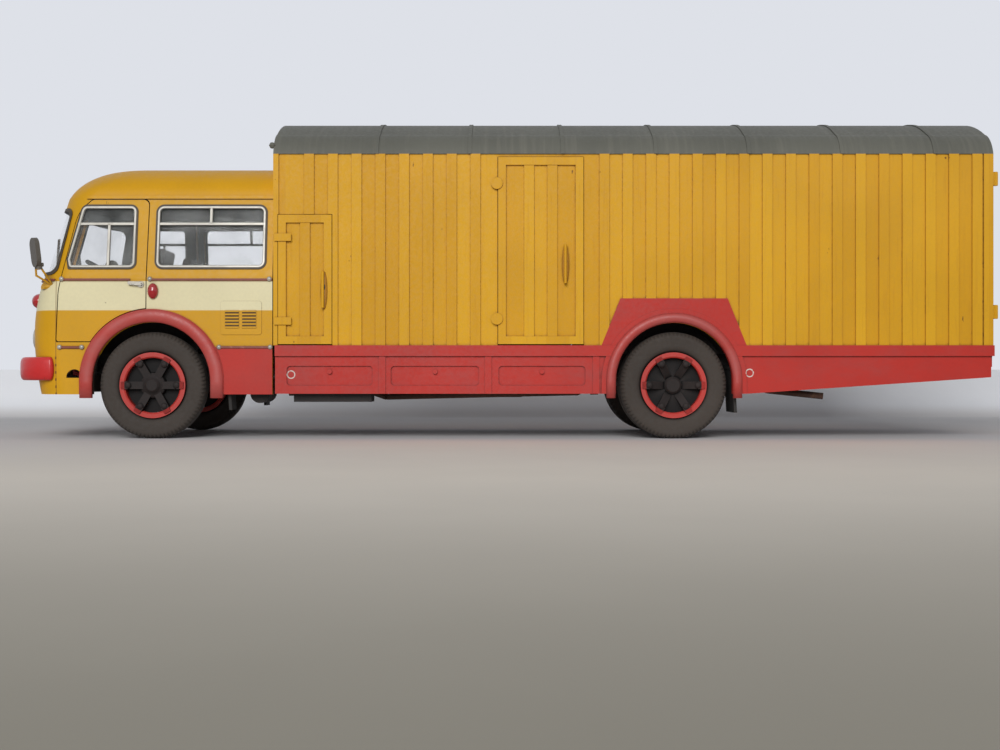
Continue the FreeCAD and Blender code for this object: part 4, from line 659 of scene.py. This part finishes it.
lamp_red = Finish("lamp_red", Roughness=0.15, Coat_Weight=0.6, Coat_Roughness=0.05)
lamp_red.wear(tint(168, 16, 22), tint(60, 8, 10), tint(150, 60, 60), 0.5, 0.0, 0.15)
dress(lamp_red, "tail_lamps")
places = both_sides(SIDE_LAMP, SIDE_LAMP_OUT) + both_sides(NOSE_LAMP, NOSE_LAMP_OUT)
lamps = domes("marker_domes", places, [SIDE_LAMP_SIZE] * 2 + [NOSE_LAMP_SIZE] * 2, lamp_red)
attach(lamps, "truck")
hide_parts("marker_lamps")

# Mirrors
# Each mirror is a grey moulded head on a bent wire arm. The arm is pushed into the cab and painted yellow
# with it.

MIRROR_FOOT = 40.8 * MM

mirror_grey = Finish("mirror_grey", Roughness=0.5)
head = mirror_grey.place.axis(2).ramp(MIRROR_FOOT, MIRROR_FOOT + 0.2 * MM)
mirror_grey.wear(head.over(YELLOW, tint(88, 82, 74)), tint(52, 40, 28), tint(134, 124, 110), 0.6, 0.3, 0.2)
dress(mirror_grey, "mirrors")

# Boarded box
# Upright boards alternate with flush planks round a hollow body, each brushed in a slightly different yellow.
# The doors are cut out of the same boards, and a black block behind the gap in front of each side door is
# painted shade.

RUN_SPLIT = FRONT_AXLE - 90 * MM
FIRST_RUN = (FRONT_AXLE - 38.2 * MM, 40.4 * MM / 7)
SECOND_RUN = (FRONT_AXLE - 109.9 * MM, 90.5 * MM / 16)
BOARD_STEP = 28.85 * MM
PALE_RISE = (30 * MM, 70 * MM)
REBATE_ALONG = (-85.45 * MM, -82.8 * MM)
REBATE_OUT = (26.65 * MM, 27.35 * MM)
REBATE_HEIGHT = (23.2 * MM, 68.3 * MM)


def board_tone(finish):
    """A tone from 0 to 1 for each board, from its place in its run and whether it stands proud."""
    along = finish.place.axis(0)
    across = finish.place.axis(1)
    proud = across.maths("ABSOLUTE").ramp(BOARD_STEP - 0.1 * MM, BOARD_STEP + 0.1 * MM)
    later = along.ramp(RUN_SPLIT - 0.01 * MM, RUN_SPLIT + 0.01 * MM, 1.0, 0.0)
    first, second = ((start - along) / pitch for start, pitch in (FIRST_RUN, SECOND_RUN))
    count = first * (1 - later) + second * later + 200 * later
    board = (count + proud * 0.5).maths("FLOOR")
    seed = board * 1.37 + proud * 57.3 + across.ramp(-0.001, 0.001) * 411
    return finish.place.node("ShaderNodeTexWhiteNoise", {"noise_dimensions": "1D"}, {"W": seed})


board_paint = Finish("board_paint", Specular_IOR_Level=0.3)
toned = board_tone(board_paint).over(tint(208, 152, 16), tint(220, 166, 24))
pale = board_paint.place.noise(60, 3).ramp(0.3, 0.7, 0.5, 1.0)
# The boards are paler towards the top, in clouds.
paler_upward = (board_paint.place.axis(2).ramp(*PALE_RISE, 0.0, 0.4) * pale).over(toned, tint(216, 162, 50))
streak = board_paint.place.stretched(1, 1, 0.05).noise(1500, 3, 0.6).ramp(0.52, 0.75, 0.0, 0.3)
streaked = streak.over(paler_upward, tint(190, 132, 26))
board_paint.wear(streaked, tint(120, 72, 16), tint(140, 82, 40), 0.8, 0.25, 0.08, 0.75, rough=(0.5, 0.68))
dress(board_paint, "box_side_left", "box_side_right", "box_front_wall", "box_rear_frame", "rear_doors",
      "side_doors", "locker_doors", "door_hinges", "box_handles")

# Painted shade: a thin black block fills each side door's front gap.
grids = [(block(REBATE_ALONG, REBATE_OUT, REBATE_HEIGHT, hand), False) for hand in (1, -1)]
gap_shade_blocks = swept("door_gap_shades", grids, seal_black, False)
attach(gap_shade_blocks, "truck")

# Key plates
# A worn brown oval plate is pinned behind the handle of each side door and each locker door. A dark dot in it
# is the keyhole.

KEY_PLATES = MM * np.array([(-100.45, 42.4), (-41.85, 36.0)])
PLATES_OUT = 29.2 * MM
PLATE_SIZES = MM * np.array([(0.85, 0.5, 4.9), (0.85, 0.5, 4.7)])
KEYHOLES = MM * np.array([(-100.45, 43.0), (-41.85, 36.8)])
KEYHOLES_OUT = 29.55 * MM
KEYHOLE_SIZE = (0.42 * MM, 0.25 * MM, 0.9 * MM)

plate_brown = Finish("plate_brown", Roughness=0.6)
plate_brown.wear(tint(176, 122, 30), tint(60, 34, 14), tint(120, 72, 30), 0.9, 0.6, 0.2, 0.8)
sizes = np.repeat(PLATE_SIZES, 2, axis=0)
plates = domes("key_plates", both_sides(KEY_PLATES, PLATES_OUT), sizes, plate_brown)
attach(plates, "truck")
keyholes = domes("keyholes", both_sides(KEYHOLES, KEYHOLES_OUT), KEYHOLE_SIZE, seal_black)
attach(keyholes, "truck")

# Roof of the box
# One grey sheet is bent over the box, with raised seams where its lengths overlap. Its matt paint has faint
# streaks down both slopes.

roof_sheet = Finish("roof_sheet")
streak = roof_sheet.place.stretched(1, 0.06, 0.06).noise(900, 3, 0.6).ramp(0.45, 0.75, 0.0, 0.5)
streaked = streak.over(tint(94, 94, 85), tint(112, 110, 100))
roof_sheet.wear(streaked, tint(50, 46, 40), tint(128, 124, 112), 0.7, 0.3, 0.16, rough=(0.55, 0.75))
dress(roof_sheet, "box_roof")

# Wheels
# Moulded tyres with block tread sit on red rims, which black six armed hubs clamp with a nut at each arm. The
# rear wheels are twins, and all of them turn on steel rods.

HUB_HEIGHT = 13 * MM
HUB_DISH = 4 * MM
ARM_TIP = (6.65 * MM, 6.8 * MM)
ARMS = 6
ARM_TURN = 30
NUT_RADIUS = 5.9 * MM
NUT_PROUD = 0.1 * MM
NUT_SIZE = (0.8 * MM, 0.4 * MM, 0.8 * MM)
TWIN_PITCH = 6.6 * MM
TYRE_WIDTH = 5.4 * MM
TYRE_BEAD = 8 * MM
TYRE_SQUARENESS = 0.62
LUGS = 80
LUG_DEPTH = 0.24 * MM
GROOVE_DEPTH = 0.3 * MM
GROOVE_PLACE = 0.32
GROOVE_WAVE = 0.05
GROOVE_HALF = 0.09
TYRE_STEPS = 640
SECTION_STEPS = 40


def climb(value, start, run):
    """0 up to the start, then straight up to 1 over the run."""
    return np.clip((value - start) / run, 0, 1)


def tyre_ring(middle, low_y, high_y, outer, inner):
    """Ring whose section is a rounded square, sine and cosine to one power. Notches at both shoulders and two
    wavy grooves round the middle are taken off it."""
    around = np.linspace(0, 2 * np.pi, TYRE_STEPS, endpoint=False)[:, None]
    across = np.linspace(0, 2 * np.pi, SECTION_STEPS, endpoint=False)[None, :]
    rise = np.sign(np.cos(across)) * np.abs(np.cos(across)) ** TYRE_SQUARENESS
    side = np.sign(np.sin(across)) * np.abs(np.sin(across)) ** TYRE_SQUARENESS
    shoulder = climb(np.abs(side), 0.5, 0.12) * climb(rise, 0.6, 0.2)
    turn = around * LUGS + np.where(side > 0, 0.0, np.pi)
    notch = LUG_DEPTH * shoulder * np.clip(np.cos(turn) * 2.4 - 0.5, 0, 1)
    wave = GROOVE_PLACE + GROOVE_WAVE * np.sign(np.sin(around * LUGS / 2))
    groove = (1 - climb(np.abs(np.abs(side) - wave), 0, GROOVE_HALF)) * climb(rise, 0.72, 0.2)
    edge = climb(np.abs(side), 0.7, 0.3)
    radius = (outer + inner) / 2 + (outer - inner) / 2 * rise
    radius = radius - GROOVE_DEPTH * groove - notch * (1 - 0.5 * edge)
    y = (low_y + high_y) / 2 + (high_y - low_y) / 2 * side - notch * edge * np.sign(side)
    along = middle[0] + radius * np.cos(around)
    return np.stack([along, y + 0 * around, middle[1] + radius * np.sin(around)], axis=2)


hub_blacks = {}
for end, axle in (("front", FRONT_AXLE), ("rear", FRONT_AXLE - WHEELBASE)):
    hub_black = Finish("hub_black_" + end, Roughness=0.7, Specular_IOR_Level=0.3)
    away = hub_black.place.stretched(1, 0, 1).distance((axle, 0, HUB_HEIGHT))
    # Painted shade: the hub goes near black where it lies deep in its dish.
    shaded_dish = hub_black.hollow(HUB_DISH).ramp(0.2, 0.45).over(tint(40, 33, 31), tint(9, 6, 5))
    painted = away.ramp(*ARM_TIP).over(shaded_dish, tint(150, 38, 32))
    hub_black.wear(painted, tint(12, 9, 8), tint(84, 64, 56), 0.85, 0.3, 0.4)
    hub_blacks[end] = hub_black
rim_red = Finish("rim_red", Coat_Weight=0.1)
rim_red.wear(RED, RED_WASH_AND_SHADE, RED_SCUFF, 0.85, 0.4, 0.15, rough=(0.4, 0.6))
tyre_black = Finish("tyre_black")
tyre_black.wear(tint(63, 56, 50), tint(34, 28, 23), tint(98, 86, 74), 0.75, 0.4, 0.25, rough=(0.75, 0.92))

for place in ("front_left", "front_right", "rear_left", "rear_right"):
    end = place.split("_")[0]
    dress(hub_blacks[end], "hub_" + place)
    dress(rim_red, "rim_" + place)
    low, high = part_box("tyre_" + place)
    middle = ((low.x + high.x) / 2, (low.z + high.z) / 2)
    outer = (high.z - low.z) / 2
    hand = 1 if low.y > 0 else -1
    face = max(abs(low.y), abs(high.y))
    rings = []
    for count in range(1 if end == "front" else 2):
        out = face - count * TWIN_PITCH
        ends = sorted((hand * out, hand * (out - TYRE_WIDTH)))
        rings.append((tyre_ring(middle, *ends, outer, TYRE_BEAD), True))
    tyre = swept("tread_" + place, rings, tyre_black)
    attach(tyre, "wheel_" + place)
    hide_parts("tyre_" + place)
    turns = np.radians(ARM_TURN + 360 / ARMS * np.arange(ARMS))
    places = np.stack([middle[0] + NUT_RADIUS * np.sin(turns), 0 * turns + hand * (face + NUT_PROUD),
                       middle[1] + NUT_RADIUS * np.cos(turns)], axis=1)
    nuts = domes("wheel_nuts_" + place, places, NUT_SIZE, hub_blacks[end])
    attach(nuts, "wheel_" + place)

# Table and light
# The model stands on a pale sheet of paper that bends up behind it and darkens towards its front. Even
# daylight comes from a wide window above the camera, which looks level from just over the table.

SHEET_HALF = 3.0
SHEET_FRONT = 3.0
SHEET_BEND = -133.5 * MM
BEND_RADIUS = 12 * MM
SHEET_TOP = 17.5 * MM
SHEET_SLOPE = math.radians(72)
WARM_FRONT = (30 * MM, 160 * MM)
SHADE_FRONT = (133 * MM, 330 * MM)
SKY_LIGHT = 0.2
SKY_SEEN = tint(222, 225, 232)
SKY_TINT = tint(235, 238, 245)
WINDOW_PLACE = mathutils.Vector((0.12, 0.98, 0.42))
WINDOW_TARGET = mathutils.Vector((0, 0, 0.03))
WINDOW_SIZE = 0.5
WINDOW_POWER = 7.7
EYE = (0.5 * MM, 358 * MM, 15.5 * MM)
LENS = 48.8

paper = Finish("paper", Roughness=0.9, Specular_IOR_Level=0.2)
depth = paper.place.axis(1)
white = depth.ramp(*WARM_FRONT).over(tint(229, 227, 227), tint(236, 230, 220))
# Painted shade: the paper darkens towards the camera.
shaded = depth.ramp(*SHADE_FRONT).over(white, tint(144, 140, 129))
risen = paper.place.axis(2).ramp(0.5 * MM, 5 * MM).over(shaded, tint(246, 248, 252))
grain = paper.place.noise(30, 3).ramp(0.3, 0.7, 0.985, 1.015)
paper.feed("Base Color", paper.place.node("ShaderNodeHueSaturation", {}, {"Value": grain, "Color": risen}))

turn = np.linspace(0, SHEET_SLOPE, 12)
rise = BEND_RADIUS * (1 - np.cos(turn))
back = SHEET_BEND - BEND_RADIUS * np.sin(turn)
top = (back[-1] - (SHEET_TOP - rise[-1]) / math.tan(SHEET_SLOPE), SHEET_TOP)
line = [(SHEET_FRONT, 0.0), *zip(back, rise), top]
points = np.array([(side, y, z) for y, z in line for side in (-SHEET_HALF, SHEET_HALF)])
strip = np.arange(len(line) - 1)
faces = (2 * strip[:, None] + (0, 2, 3, 1)).tolist()
floor = piece("floor", points, faces, paper, strip > 0)

world = bpy.data.worlds.new("daylight")
bpy.context.scene.world = world
world.use_nodes = True
sky = Wire(world.node_tree, None)
shine = sky.node("ShaderNodeLightPath", {}, {}, "Is Glossy Ray")
seen = sky.node("ShaderNodeLightPath", {}, {}, "Is Camera Ray").maths("MAXIMUM", shine)
background = world.node_tree.nodes["Background"]
world.node_tree.links.new(seen.over(SKY_TINT, SKY_SEEN).socket, background.inputs["Color"])
world.node_tree.links.new(seen.ramp(0.0, 1.0, SKY_LIGHT, 1.0).socket, background.inputs["Strength"])

window = bpy.data.lights.new("key", "AREA")
window.size = WINDOW_SIZE
window.energy = WINDOW_POWER
lamp = bpy.data.objects.new("key", window)
lamp.location = WINDOW_PLACE
lamp.rotation_euler = (WINDOW_PLACE - WINDOW_TARGET).to_track_quat("Z", "Y").to_euler()
bpy.context.scene.collection.objects.link(lamp)

camera = bpy.data.cameras.new("camera")
camera.lens = LENS
camera.sensor_width = 36
camera.clip_start = 10 * MM
eye = bpy.data.objects.new("camera", camera)
eye.location = EYE
eye.rotation_euler = (math.radians(90), 0.0, math.radians(180))
bpy.context.scene.collection.objects.link(eye)
bpy.context.scene.camera = eye
bpy.context.scene.view_settings.view_transform = "Standard"
